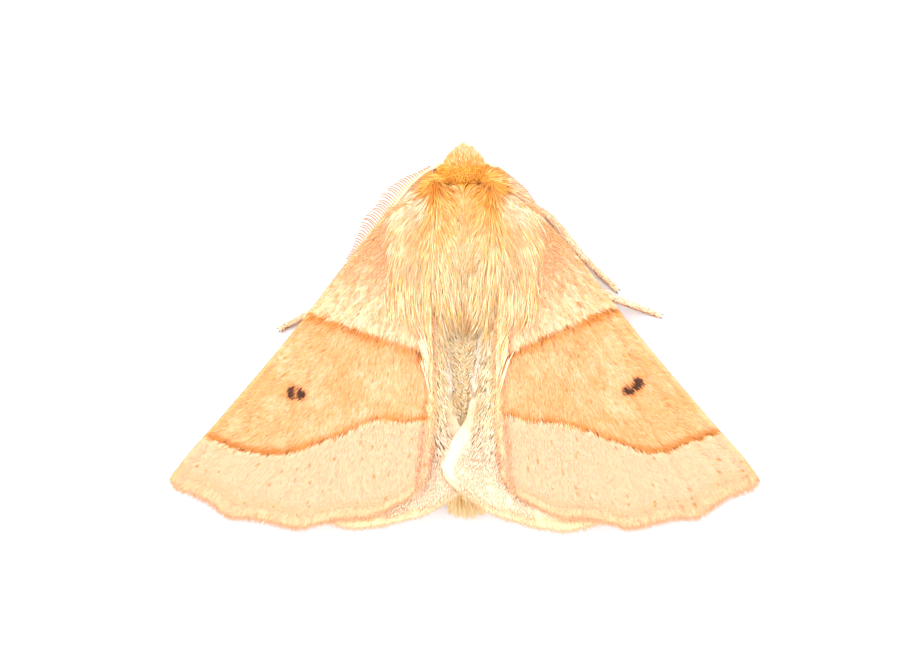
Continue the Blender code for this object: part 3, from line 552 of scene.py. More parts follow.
# The bare body's own forms, inside the solids by the coat's depth
body = {
    "thorax": ((0, 5.3, 3.1), (1.85, 2.55, 1.95)),
    "head": ((0, 8.68, 2.7), (1.05, 0.88, 1.0)),
    "neck": ((0, 7.85, 2.75), (0.8, 0.7, 0.75)),
    "waist": ((0, 2.75, 2.6), (1.35, 1.75, 1.3)),
    "leftCollar": ((-1.5, 7.0, 2.75), (0.9, 1.0, 0.75)),
    "rightCollar": ((1.5, 7.0, 2.75), (0.9, 1.0, 0.75)),
    "leftShoulder": ((-1.4, 4.9, 3.35), (0.72, 1.8, 0.8)),
    "rightShoulder": ((1.4, 4.9, 3.35), (0.72, 1.8, 0.8)),
    "face": ((-0.04, 9.14, 2.66), (0.42, 0.64, 0.52)),
    "abdomen": ((3.3, 2.35, 0.9), (2.4, 2.05, 1.0), (1.2, 1.72, 1.05), (-0.2, 1.42, 1.0), (-1.4, 1.27, 0.93),
                (-2.4, 1.15, 0.85), (-3.2, 1.05, 0.75), (-3.9, 0.95, 0.64), (-5.0, 0.9, 0.56),
                (-6.3, 0.87, 0.5), (-7.4, 0.84, 0.44), (-8.0, 0.82, 0.33)),
    "abdomenWidening": 1.3,
    "voxel": 0.11,
}
rounds = [np.array(body[part]) for part in ("thorax", "head", "neck", "waist", "face", "leftCollar",
                                              "rightCollar", "leftShoulder", "rightShoulder")]
stations = np.array(body["abdomen"])[::-1]


def bodyTop(x, y):  # height of the bare body's upper side, or well below the floor beside it
    found = np.full(np.shape(x), -9.0)
    for centre, radii in rounds:
        level = 1 - ((x - centre[0]) / radii[0]) ** 2 - ((y - centre[1]) / radii[1]) ** 2
        found = np.maximum(found, np.where(level > 0, centre[2] + radii[2] * np.sqrt(np.maximum(level, 0)), -9))
    middle = np.interp(y, stations[:, 0], stations[:, 1])
    depth = np.interp(y, stations[:, 0], stations[:, 2])
    level = 1 - (x / (depth * body["abdomenWidening"])) ** 2
    there = (level > 0) & (y < stations[-1, 0]) & (y > stations[0, 0] - 0.2)
    return np.maximum(found, np.where(there, middle + depth * np.sqrt(np.maximum(level, 0)), -9))


def ballForm(centre, radii, around=48, rows=28):
    turns = np.linspace(0, 2 * math.pi, around, endpoint=False)
    tilts = np.linspace(0, math.pi, rows + 1)[1:-1]
    ring = np.stack([np.sin(tilts)[:, None] * np.cos(turns), -np.cos(tilts)[:, None] * np.ones(around),
                     np.sin(tilts)[:, None] * np.sin(turns)], axis=-1)
    points = np.vstack([ring.reshape(-1, 3), [[0, -1, 0], [0, 1, 0]]]) * radii + centre
    row, spoke = np.meshgrid(np.arange(rows - 2), np.arange(around), indexing="ij")
    a, b = (row * around + spoke).ravel(), (row * around + (spoke + 1) % around).ravel()
    walls = np.stack([a, a + around, b + around, b], axis=1)
    spokes = np.arange(around)
    after, end = (spokes + 1) % around, (rows - 2) * around
    caps = np.vstack([np.stack([spokes, after, np.full(around, len(points) - 2)], 1),
                      np.stack([end + after, end + spokes, np.full(around, len(points) - 1)], 1)])
    return points, walls, caps


def makeSkin():
    forms = [ballForm(centre, radii) for centre, radii in rounds]
    line = np.array([(0, y, z) for y, z, _ in body["abdomen"]])
    abdomen = tubeForm(smoothLine(line, 4), np.interp(np.linspace(0, 1, 45), np.linspace(0, 1, len(line)),
                                                      [row[2] for row in body["abdomen"]]), 32)
    abdomen[0][:, 0] *= body["abdomenWidening"]
    points, faces = joinForms([*forms, abdomen])
    skin = makeObject("body_skin", points, faces, coatStuff)
    remesh = skin.modifiers.new("one skin", "REMESH")
    remesh.mode = "VOXEL"
    remesh.voxel_size = body["voxel"] * mm
    soften = skin.modifiers.new("soften", "SMOOTH")
    soften.iterations = 6
    graph = bpy.context.evaluated_depsgraph_get()
    mesh = bpy.data.meshes.new_from_object(skin.evaluated_get(graph))
    skin.modifiers.clear()
    spots = np.zeros(len(mesh.vertices) * 3)
    mesh.vertices.foreach_get("co", spots)
    spots = spots.reshape(-1, 3) / mm
    middling = np.full(len(spots), 0.4)
    addValues(mesh, place=spots, along=middling, chance=middling, tone=middling)
    mesh.materials.clear()
    mesh.materials.append(coatStuff)
    mesh.polygons.foreach_set("use_smooth", np.full(len(mesh.polygons), True))
    skin.data = mesh
    return skin


skin = placePiece(makeSkin(), "thorax_coat", "thorax", "head", "abdomen")


def skinTriangles():
    mesh = skin.data
    mesh.calc_loop_triangles()
    corners = np.zeros(len(mesh.loop_triangles) * 3, np.int32)
    mesh.loop_triangles.foreach_get("vertices", corners)
    spots, normals = np.zeros(len(mesh.vertices) * 3), np.zeros(len(mesh.vertices) * 3)
    mesh.vertices.foreach_get("co", spots)
    mesh.vertices.foreach_get("normal", normals)
    corners = corners.reshape(-1, 3)
    return (spots.reshape(-1, 3) / mm)[corners], normals.reshape(-1, 3)[corners]


skinCorners, skinNormals = skinTriangles()
skinAreas = 0.5 * np.linalg.norm(np.cross(skinCorners[:, 1] - skinCorners[:, 0],
                                          skinCorners[:, 2] - skinCorners[:, 0]), axis=1)


# Evenly scattered roots where wanted is above 0: it goes by x, y and how far the skin faces forward and up
def rootsOnSkin(count, wanted, draw):
    middles, facing = skinCorners.mean(axis=1), skinNormals.mean(axis=1)
    weight = skinAreas * np.maximum(wanted(middles[:, 0], middles[:, 1], facing[:, 1], facing[:, 2]), 0)
    chosen = draw.choice(len(weight), count, p=weight / weight.sum())
    a, b = draw.random((2, count))
    flip = a + b > 1
    a, b = np.where(flip, 1 - a, a), np.where(flip, 1 - b, b)
    shares = np.stack([1 - a - b, a, b], axis=1)[:, :, None]
    return (skinCorners[chosen] * shares).sum(axis=1), unit((skinNormals[chosen] * shares).sum(axis=1))


def skinUnwrap(places):  # round the body and along it
    middle = np.interp(places[:, 1], [-8, -4, 0, 3, 5.3, 9], [0.84, 0.95, 1.5, 2.4, 3.1, 2.7])
    turn = np.arctan2(places[:, 0], places[:, 2] - middle) / (2 * math.pi) + 0.5
    return np.stack([turn * 0.98 + 0.01, (places[:, 1] + 10) / 21], axis=1)


print("skin:", len(skinCorners), "triangles")


# Outlines of the right wings seen from above, the same as the solids'
foreWing = {
    "costa": ((3.0, 6.95), (3.8, 6.5), (5.8, 4.4), (9.05, 0.2), (12.7, -4.1), (14.7, -6.35)),
    "margin": ((15.48, -7.6), (15.15, -8.1), (14.3, -8.35), (13.35, -8.83), (12.78, -9.28), (12.2, -9.6),
               (11.2, -9.62), (10.2, -9.82), (8.8, -10.12), (7.9, -9.93), (6.9, -9.66), (5.9, -9.58),
               (4.9, -9.48), (3.9, -9.0), (2.75, -8.32), (1.95, -7.3)),
    "dorsum": ((1.85, 3.4), (1.75, 1.0), (1.65, -2.0), (1.75, -5.0)),
    "veins": (0.055, 0.13, 0.25, 0.345, 0.43, 0.545, 0.67, 0.80, 0.92), "longVeins": (0.055, 0.13, 0.67, 0.92),
    "rootAngles": (36, -8), "drop": 0.0, "membrane": 0.1, "scales": 24500, "scaleLength": 0.5,
    "scaleWidth": 0.054, "underScales": 2800, "fringe": 5400, "fan": 27,
}
hindWing = {
    "costa": ((4.4, 3.2), (8.4, -1.8), (11.1, -5.5)),
    "margin": ((12.0, -7.3), (11.5, -8.3), (10.2, -8.85), (8.8, -9.35), (7.4, -9.75), (6.3, -10.08),
               (5.3, -10.24), (4.4, -10.12), (3.6, -9.98), (2.8, -9.7), (1.7, -9.38), (0.5, -8.62),
               (-0.4, -7.95), (-0.9, -7.45)),
    "dorsum": ((1.3, 1.5), (0.85, -0.2), (0.45, -2.5), (0.06, -4.2), (-0.6, -5.2), (-1.15, -6.0), (-1.2, -6.8)),
    "veins": (0.07, 0.2, 0.33, 0.46, 0.59, 0.72, 0.86), "longVeins": (0.07, 0.59),
    "rootAngles": (-15, -44), "drop": 0.36, "membrane": 0.08, "scales": 11000, "scaleLength": 0.45,
    "scaleWidth": 0.061, "underScales": 3000, "fringe": 4400, "fan": 0,
}
wingPlane = {"rootHeight": 4.3, "shoulder": 2.0, "reach": 13.5, "fall": 2.7, "droop": 0.35, "veinHeight": 0.04,
             "veinWidth": 0.011, "leftDip": 0.34, "leftTurn": math.radians(2.3), "sag": 0.95}
fringeStart = 0.955


def wingHeight(x, y, wing, side):
    out = np.maximum(0, (np.abs(x) - wingPlane["shoulder"]) / wingPlane["reach"])
    back = np.maximum(0, (6 - y) / 14)
    z = wingPlane["rootHeight"] - wingPlane["fall"] * (0.7 * out + 0.3 * out**2) - wingPlane["droop"] * back**2
    if wing is hindWing and side < 0:
        z = z - wingPlane["leftDip"] * eased(x, -4.2, -1.6) * eased(-y, 2.4, 4.2)
    if wing is hindWing:  # draped towards the abdomen
        inward = eased(side * x, 1.95, 0.3) * eased(y, 3.4, 2.0)
        z = z - wingPlane["sag"] * inward * (0.35 + 0.65 * eased(y, -6.0, -3.6))
    return z - wing["drop"]


def wingPatch(wing):  # places seen from above, from shares across (costa to dorsum) and along
    thorax, hairDepth, gap = body["thorax"], 0.1, 0.3
    height = wingPlane["rootHeight"] - wing["drop"] - 0.25
    level = math.sqrt(1 - ((height - thorax[0][2]) / (thorax[1][2] + hairDepth)) ** 2)
    reach = [(radius + hairDepth) * level + gap for radius in thorax[1][:2]]

    def root(u):
        angle = np.radians(wing["rootAngles"][0] + (wing["rootAngles"][1] - wing["rootAngles"][0]) * u)
        return np.stack([reach[0] * np.cos(angle), thorax[0][1] + reach[1] * np.sin(angle)], axis=-1)

    starts = root(np.array([0.0, 1.0]))
    leading = alongCurve([starts[0], *wing["costa"], wing["margin"][0]])
    trailing = alongCurve([starts[1], *wing["dorsum"], wing["margin"][-1]])
    outer = alongCurve(wing["margin"])

    def at(u, v):
        u, v = np.asarray(u, float), np.asarray(v, float)
        uu, vv = u[..., None], v[..., None]
        flat = (leading(v) * (1 - uu) + trailing(v) * uu + root(u) * (1 - vv) + outer(u) * vv)
        near = leading(0 * v) * (1 - uu) + trailing(0 * v) * uu
        far = outer(0 * u) * (1 - uu) + outer(0 * u + 1) * uu
        return flat - near * (1 - vv) - far * vv

    return at


def wingSurface(wing, side):
    patch = wingPatch(wing)
    pivot = patch(0.5, 0.0)
    turn = wingPlane["leftTurn"] if wing is hindWing and side < 0 else 0.0

    def at(u, v):
        arm = patch(u, v) - pivot
        x = side * (pivot[0] + arm[..., 0] * math.cos(turn) - arm[..., 1] * math.sin(turn))
        y = pivot[1] + arm[..., 0] * math.sin(turn) + arm[..., 1] * math.cos(turn)
        z = wingHeight(x, y, wing, side)
        for vein in wing["veins"]:
            full = 0.12 if vein in wing["longVeins"] else 0.42  # where the vein has its full height
            z = z + wingPlane["veinHeight"] * np.exp(-((u - vein) / wingPlane["veinWidth"]) ** 2) * eased(
                v, full - 0.1, full) * eased(v, 1.0, 0.93) * (0.5 + 0.5 * np.minimum(1, v * 2))
        z = z - 0.01 + 0.01 * np.sin(u * 31 + v * 5) * eased(v, 0.1, 0.6)
        return np.stack([x, y, z], axis=-1)

    return at


def makeMembrane(name, wing, side, surface, material, columns=84, rows=50):
    u, v = np.meshgrid(np.linspace(0, 1, columns), np.linspace(0, fringeStart + 0.012, rows), indexing="ij")
    top = surface(u, v).reshape(-1, 3)
    rim = np.exp(-(u.ravel() / 0.02) ** 2) * 0.22 * eased(v.ravel(), 1.05, 0.6)  # the stout leading edge
    under = top - np.stack([0 * rim, 0 * rim, wing["membrane"] + rim], axis=1)
    points = np.vstack([top, under])
    i, j = np.meshgrid(np.arange(columns - 1), np.arange(rows - 1), indexing="ij")
    a = (i * rows + j).ravel()
    quads = np.stack([a, a + rows, a + rows + 1, a + 1], axis=1)
    if side > 0:
        quads = quads[:, ::-1]
    edge = np.concatenate([np.arange(columns) * rows, (columns - 1) * rows + np.arange(1, rows),
                           (np.arange(columns - 1)[::-1]) * rows + rows - 1, np.arange(1, rows - 1)[::-1]])
    after = np.roll(edge, -1)
    walls = np.stack([edge, after, after + len(top), edge + len(top)], axis=1)
    if side < 0:
        walls = walls[:, ::-1]
    faces = np.vstack([quads[:, ::-1], quads + len(top), walls])
    shares = np.stack([u.ravel(), v.ravel(), 0 * u.ravel()], axis=1)
    middling = {"chance": np.full(len(points), 0.45), "tone": np.full(len(points), 0.6),
                "along": np.full(len(points), 0.5)}
    return makeObject(name, points, faces, material, place=np.vstack([top, top]),
                      wingShare=np.vstack([shares, shares]), **middling)


def scatteredShares(surface, count, draw, ends=(0.0, 0.97), weight=None):  # even over the wing's area
    u, v = np.meshgrid(np.linspace(0.004, 0.996, 60), np.linspace(*ends, 60), indexing="ij")
    spots = surface(u, v)[..., :2]
    area = np.abs(np.cross(spots[1:, :-1] - spots[:-1, :-1], spots[:-1, 1:] - spots[:-1, :-1]))
    if weight is not None:
        area = area * weight(u[:-1, :-1], v[:-1, :-1])
    chosen = draw.choice(area.size, count, p=area.ravel() / area.sum())
    i, j = np.divmod(chosen, area.shape[1])
    across = u[i, 0] + draw.random(count) * (u[1, 0] - u[0, 0])
    return across, v[0, j] + draw.random(count) * (v[0, 1] - v[0, 0])


def turnedBy(ways, angles):  # turns flat directions about the vertical
    cosine, sine = np.cos(angles), np.sin(angles)
    return np.stack([ways[:, 0] * cosine - ways[:, 1] * sine, ways[:, 0] * sine + ways[:, 1] * cosine,
                     ways[:, 2]], axis=1)


def wayAlong(surface, u, v, reach=0.02):  # the way from root to margin at places on the wing
    return unit(surface(u, np.minimum(v + reach, 1)) - surface(u, np.maximum(v - reach, 0)))


def wingRise(spots, start, wing, side):  # how much higher the wing is at the spots than at the start
    return wingHeight(spots[:, 0], spots[:, 1], wing, side) - wingHeight(start[:, 0], start[:, 1], wing, side)


# Moves tufts back until their tips are inside the leading edge
def insideEdge(roots, tips, v, wing, side, surface):
    along = wayAlong(surface, 0 * v, v, 0.01)
    outward = side * np.stack([-along[:, 1], along[:, 0], 0 * v], axis=1)
    passed = np.maximum(((tips - surface(0 * v, v)) * outward).sum(axis=1) - 0.01, 0)
    moved = roots - outward * column(passed)
    moved[:, 2] += wingRise(moved, roots, wing, side)
    return moved


# One layer of flat, narrow scales, lying like roof tiles along the veins
def makeScales(name, slotName, wing, side, surface, count, draw, material, under=False):
    crowd = (lambda u, v: 0.35 + 1.3 * (u > 0.55)) if wing is hindWing and not under else None
    u, v = scatteredShares(surface, count, draw, (0.0, 0.93 if under else 0.947), crowd)
    roots = surface(u, v)
    fan = side * np.radians(wing["fan"]) * eased(u, 0.6, 0.0)
    way = turnedBy(wayAlong(surface, u, v), draw.normal(0, 0.06, count) + fan)
    length = column(wing["scaleLength"] * draw.uniform(0.7, 1.3, count) * (1 + 0.5 * eased(v, 0.3, 0.0)) * (
        1 - 0.55 * eased(v, 0.88, 0.94)))
    if wing is foreWing:
        roots = insideEdge(roots, roots + way * length, v, wing, side, surface)
    up = np.array((0.0, 0.0, -1.0 if under else 1.0))
    lift = column(draw.uniform(0.02, 0.042, count))
    base = roots - (0, 0, wing["membrane"]) if under else roots
    path = [base - up * 0.02]
    for share, raised in ((0.5, 0.01 + lift * 0.5), (1.0, lift)):
        spot = base + (way * (1, 1, 0)) * length * share
        spot[:, 2] += wingRise(spot, base, wing, side)
        path.append(spot + up * raised)
    bakeRoot = np.stack([u * 0.48 + (0.51 if under else 0.01), v * 0.97 + 0.01], axis=1)
    width = wing["scaleWidth"] * draw.uniform(0.75, 1.3, count)
    makeTufts(name, slotName, np.stack(path, axis=1), width, 0.006, bakeRoot, material, draw, up,
              roots + way * length * 0.55, smooth=False, wingShare=np.stack([u, v, 0 * u], axis=1))


# Hair-scales that stand out from the scalloped margin in three tiers
def makeFringe(name, slotName, surface, count, draw, material):
    u = np.sort(draw.random(count))
    tier = draw.integers(0, 3, count)
    v = fringeStart + 0.008 - tier * 0.012
    roots = surface(u, v)
    out = unit(surface(u, np.full(count, 1.0)) - surface(u, np.full(count, 0.93)))
    reach = np.linalg.norm(surface(u, np.full(count, 1.0)) - roots, axis=1)
    way = turnedBy(out, draw.normal(0, 0.1, count))
    length = column((reach + 0.02) * draw.uniform(0.6, 1.12, count))
    drop = np.outer(draw.uniform(-0.07, 0.02, count), skyward)
    path = np.stack([roots - (0, 0, 0.04), roots + way * length * 0.5 + (0, 0, 0.01),
                     roots + way * length + drop], axis=1)
    bakeRoot = np.stack([u * 0.97 + 0.01, 0.9 + tier * 0.03], axis=1)
    makeTufts(name, slotName, path, 0.036 * draw.uniform(0.7, 1.3, count), 0.012, bakeRoot, material, draw,
              wingShare=np.stack([u, np.full(count, 0.985), 0 * u], axis=1))


wings = {}
for kind, wing, stuff, slotName in (("forewing", foreWing, forewingStuff, "forewing_scales"),
                                    ("hindwing", hindWing, hindwingStuff, "hindwing_scales")):
    for side, word in bothSides:
        surface = wingSurface(wing, side)
        wings[kind, side] = surface
        draw = np.random.default_rng(40 + side + (7 if wing is hindWing else 0))
        name = f"{kind}_{word}"
        placePiece(makeMembrane(name + "_membrane", wing, side, surface, stuff), slotName, name)
        makeScales(name + "_scales", slotName, wing, side, surface, wing["scales"], draw, stuff)
        makeScales(name + "_underscales", slotName, wing, side, surface, wing["underScales"], draw, stuff, True)
        makeFringe(name + "_fringe", slotName, surface, wing["fringe"], draw, stuff)
print("wings ready")


def wingOutline(kind, side):
    run = np.linspace(0, 1, 30)
    back, zero, one = run[::-1], np.zeros(30), np.ones(30)
    sides = [wings[kind, side](u, v) for u, v in ((zero, run), (run, one), (one, back), (back, zero))]
    return np.vstack(sides)[:, :2]


outlines = {key: wingOutline(*key) for key in wings}


def lyingHeight(x, y):  # what a hair lies on: the body, or the wings beside it
    found = bodyTop(x, y)
    for (kind, side), outline in outlines.items():
        there = insideOutline(x, y, outline)
        wing = foreWing if kind == "forewing" else hindWing
        found = np.where(there, np.maximum(found, wingHeight(x, y, wing, side) + 0.03), found)
    return found


# Strands laid from their roots along a flat direction, over the body and the wing roots
def layStrands(roots, normals, ways, length, rise, draw, curl):
    ways = unit(ways)
    bend = column(draw.normal(0, curl, len(roots)))
    aside = unit(np.cross(ways, skyward) + (1e-6, 0, 0))
    onTop = eased(normals[:, 2], 0.0, 0.45)
    path = [roots - normals * rootDepth]
    for share in np.linspace(0, 1, 4)[1:]:
        spot = roots + ways * column(length) * share + aside * bend * column(length) * share**2
        over = lyingHeight(spot[:, 0], spot[:, 1]) + rise * share**0.6
        free = spot[:, 2] + normals[:, 2] * rise * share
        free = np.where(over < 0, free - 0.25 * length * share**2 * onTop, free)
        lain = np.where(over > 0, np.maximum(over, np.minimum(free, over + 0.25)), free)
        path.append(np.stack([spot[:, 0] + normals[:, 0] * rise * share, spot[:, 1],
                              free * (1 - onTop) + lain * onTop], axis=1))
    return np.stack(path, axis=1)


def hugBody(path, rise):  # draws the strands of sides and underside in to the body they lie on
    shares = np.linspace(0, 1, path.shape[1])
    for i in range(1, path.shape[1]):
        spot = path[:, i]
        best, pulled = np.full(len(spot), 9.0), spot.copy()
        forms = [(np.tile(c, (len(spot), 1)), np.tile(r, (len(spot), 1))) for c, r in rounds]
        depth = np.interp(spot[:, 1], stations[:, 0], stations[:, 2])
        middle = np.interp(spot[:, 1], stations[:, 0], stations[:, 1])
        forms.append((np.stack([0 * depth, spot[:, 1], middle], 1),
                      np.stack([depth * body["abdomenWidening"], depth, depth], 1)))
        for centre, radii in forms:
            level = np.linalg.norm((spot - centre) / radii, axis=1)
            level = np.where((radii[:, 0] < 1.31) & (spot[:, 1] > 3.2) & (centre[:, 1] == spot[:, 1]), 9, level)
            nearer = level < best
            goal = 1 + rise * shares[i] ** 0.6 / radii
            drawn = centre + (spot - centre) / column(np.maximum(level, 1e-6)) * goal
            pulled = np.where(nearer[:, None], drawn, pulled)
            best = np.minimum(best, level)
        path[:, i] = pulled
    return path


def makeCoat(name, slotName, roots, normals, ways, length, width, rise, seed, hug=False, curl=0.12):
    draw = np.random.default_rng(seed)
    path = layStrands(roots, normals, ways, length, rise, draw, curl)
    if hug:
        path = hugBody(path, rise if np.ndim(rise) == 0 else rise.mean())
    path[:, :, 2] = np.maximum(path[:, :, 2], 0.06)
    makeTufts(name, slotName, path, width, 0.05, skinUnwrap(roots), coatStuff, draw, normals,
              path[:, 0] * 0.4 + path[:, 1] * 0.6)


# Hairs along given paths; shades says which of each path's points its colour goes by, and how much
def growHairs(name, slotName, path, widths, depth, draw, shades, up=skyward, roots=None):
    width, bakeRoot = draw.uniform(*widths, len(path)), skinUnwrap(path[:, 0] if roots is None else roots)
    colourAt = sum(path[:, i] * share for i, share in shades)
    makeTufts(name, slotName, path, width, depth, bakeRoot, coatStuff, draw, up, colourAt)


# How the hairs of the back lie, in degrees from straight back at distances forward: in to the parting
# beside it, and out over the wing roots beyond a whorl behind each eye
coatLie = {
    "inward": ((0.0, 32), (1.4, 20), (2.6, 9), (3.5, 15), (5.0, 27), (6.5, 41), (7.3, 55), (7.8, 76),
               (8.3, 90)),
    "outward": ((0.0, -20), (1.4, -8), (2.6, 3), (3.5, 10), (5.0, 22), (6.5, 39), (7.3, 58), (7.9, 82),
                (8.5, 104)),
    "turn": ((0, 0), (0.18, -0.5), (0.8, -1), (1.45, 0), (2.2, 1)),
    "leftEdge": ((0, 7.9), (-0.9, 8.3), (-1.75, 8.5), (-2.1, 8.5), (-2.75, 7.92), (-3.4, 7.18), (-3.9, 6.4),
                 (-6, 4), (-6, -3), (0, -3)),
    "rightEdge": ((0, 7.9), (0.9, 8.7), (1.6, 8.85), (2.2, 8.62), (2.9, 8.08), (3.55, 7.3), (4.1, 6.45), (6, 4),
                  (6, -3), (0, -3)),
    "crest": ((-3.0, 3.1), (0.3, 3.75), (1.5, 4.15), (3.0, 4.45), (4.5, 4.6), (6.6, 4.5), (7.5, 4.15),
              (8.0, 3.85), (8.6, 3.55)),
    "hollow": 2.9, "steps": 8,
}
coatCounts = {
    "mantle": 10700, "parting": 1000, "thoraxUnder": 4800, "abdomenUnder": 4800, "abdomenUpper": 6700,
    "tail": 2600, "face": 4000, "crown": 3300, "temple": 2600, "brow": 800, "nape": 70, "chin": 1900,
    "palp": 900, "wingRoot": 3800, "forewingInner": 2600, "hindwingInner": 4600,
}


def lieAngle(x, y):
    aside = np.abs(x + 0.06)
    turn = np.interp(aside, *zip(*coatLie["turn"]))
    inward, outward = np.interp(y, *zip(*coatLie["inward"])), np.interp(y, *zip(*coatLie["outward"]))
    return np.radians(np.where(turn < 0, turn * inward, turn * outward)) * np.sign(x + 0.06)


# Flat places down (or, if reach is below 0, up) the lie of the coat
def followLie(x, y, reach, turned):
    found, steps = [np.stack([x, y], axis=1)], coatLie["steps"]
    for _ in range(steps):
        angle = lieAngle(x, y) + turned
        x, y = x + np.sin(angle) * reach / steps, y - np.cos(angle) * reach / steps
        found.append(np.stack([x, y], axis=1))
    return np.stack(found, axis=1)


def napeLine(x):  # how far forward the collar reaches, behind the crown
    return 7.92 + 0.17 * (x + 0.1) ** 2


def mantleTop(x, y):  # the level that the long hairs of collar and shoulders reach
    aside = np.abs(x)
    edge = np.where(x < 0, 0.35, 0.12) * np.maximum(aside - 1.7, 0) * eased(y, 6.0, 7.0)
    return (np.interp(y, *zip(*coatLie["crest"])) - 0.2 * np.maximum(aside - 1.2, 0) - edge
            - 0.2 * np.exp(-(x / 0.3) ** 2) * eased(y, 3.8, 2.8))


# The long coat of collar, shoulders and back, evenly over its area: each strand is followed back to the body
def growMantle(side, word):
    draw = np.random.default_rng(11 + side)
    count = coatCounts["mantle"]
    edge = np.array(coatLie["leftEdge" if side < 0 else "rightEdge"])
    x, y = side * draw.uniform(-0.15, 4.3, count * 6), draw.uniform(-2.6, 8.85, count * 6)
    aside = np.abs(x)
    # scattered middles of the strands: dense on the back, few where the wing roots show, none past the outline
    bare = 0.8 * eased(y, 4.6, 3.2) * eased(aside, 1.6, 2.3)
    wanted = eased(aside, 4.2, 2.6) * eased(y, 0.5, 1.6) * (1 - bare)
    wanted = np.maximum(wanted, 0.7 * eased(y, -2.6, 1.2) * eased(aside, 0.85, 1.15) * eased(aside, 2.3, 1.7))
    keep = insideOutline(x, y, edge) & (draw.random(len(x)) < wanted)
    keep |= (aside < 0.15) & (y < 7.85) & (y > 0.8)
    keep &= (aside > 1.35) | (y < napeLine(x) - 0.01)
    x, y = x[keep][:count], y[keep][:count]
    count = len(x)
    aside = np.abs(x)
    full = (0.95 + 0.75 * eased(y, 7.6, 5.0) + 0.45 * eased(aside, 1.4, 2.4)) * draw.uniform(0.7, 1.25, count)
    full *= 1 - 0.35 * eased(y, 7.0, 7.8) * eased(aside, 1.3, 0.8)
    turned = draw.normal(0, 0.09, count)
    back = np.maximum(0.5 * full, (1.6 + 0.8 * draw.random(count) - y) * (aside < 0.95))  # from the waist
    start = followLie(x, y, -back, turned)[:, -1]
    start[:, 1] = np.minimum(start[:, 1], 8.35)
    free = lyingHeight(*start.T) < 0  # these are rooted on the shoulder beside them instead
    reach = 0.5 * full + np.linalg.norm(start - np.stack([x, y], 1), axis=1)
    flow = followLie(*start.T, reach, turned)
    for _ in range(10):  # those that reach past the outline are shortened
        out = (flow[:, -1, 1] > 6.3) & ~insideOutline(*flow[:, -1].T, edge) & (np.abs(flow[:, -1, 0]) > 0.5)
        reach = np.where(out, reach * 0.85, reach)
        flow = followLie(*start.T, reach, turned)
    shoulder = np.column_stack([side * draw.uniform(0.35, 0.8, count), np.clip(start[:, 1] - 0.15, 6.6, 7.7)])
    flow[free, 0] = shoulder[free]
    low = draw.random(count) ** 1.6
    rise = (0.08 + 0.4 * draw.random(count)) * (1 - 0.6 * eased(aside, 1.9, 2.8))
    path = []
    for share in (0, 0.3, 0.65, 1.0):
        spot = flow[:, round(share * coatLie["steps"])]
        lying = lyingHeight(*spot.T)
        base = np.maximum(lying, coatLie["hollow"])
        crest = np.maximum(mantleTop(*spot.T), base)
        z = base + (crest - base) * float(eased(share, 0, 0.3)) * (1 - 0.85 * low) + rise * share**0.7
        if share == 0:
            z = base - rootDepth
        path.append(np.column_stack([spot, z]))
    path = np.stack(path, axis=1)
    growHairs(f"thorax_{word}_mantle", "thorax_coat", path, (0.035, 0.065), 0.011, draw,
              ((0, 0.3), (1, 0.3), (2, 0.4)))


# Short hairs lying close to the body; the way's first number is taken outwards
def growClose(name, slotName, count, wanted, way, spread, lengths, widths, rise, seed, draw):
    roots, normals = rootsOnSkin(count, wanted, draw)
    ways = np.column_stack([np.sign(roots[:, 0]), np.ones((count, 2))]) * way
    ways += draw.normal(0, spread, (count, 3))
    makeCoat(name, slotName, roots, normals, ways, draw.uniform(*lengths, count),
             draw.uniform(*widths, count), rise, seed, hug=True)


def growThorax():
    growMantle(-1, "left")
    growMantle(1, "right")
    draw = np.random.default_rng(15)
    count = coatCounts["parting"]
    y = draw.uniform(2.6, 7.9, count)
    x = -0.06 + 0.05 * (7.0 - y) / 5 + draw.normal(0, 0.06, count)
    length, rise = draw.uniform(0.5, 0.95, count), draw.uniform(0.2, 0.42, count)
    slant = draw.normal(0, 0.12, count)
    path = []
    for share in (0, 0.35, 0.7, 1.0):
        spot = np.column_stack([x + slant * length * share, y - length * share])
        path.append(np.column_stack([spot, lyingHeight(*spot.T) + (rise * share**0.6 if share else -0.05)]))
    path = np.stack(path, axis=1)
    growHairs("thorax_parting", "thorax_coat", path, (0.045, 0.08), 0.015, draw, ((0, 1),))
    growClose("thorax_under_coat", "thorax_coat", coatCounts["thoraxUnder"],
              lambda x, y, forward, up: (y > 2.0) & (y < 7.9) & (up < 0.45),
              (0.2, -1, -0.35), 0.14, (0.6, 1.1), (0.06, 0.11), 0.2, 14, draw)


# The level that the long hairs between the wings reach
valley = ((-5.4, 1.8), (-4.4, 2.35), (-3.0, 2.75), (-1.0, 2.95), (0.5, 3.15), (2.0, 3.6))


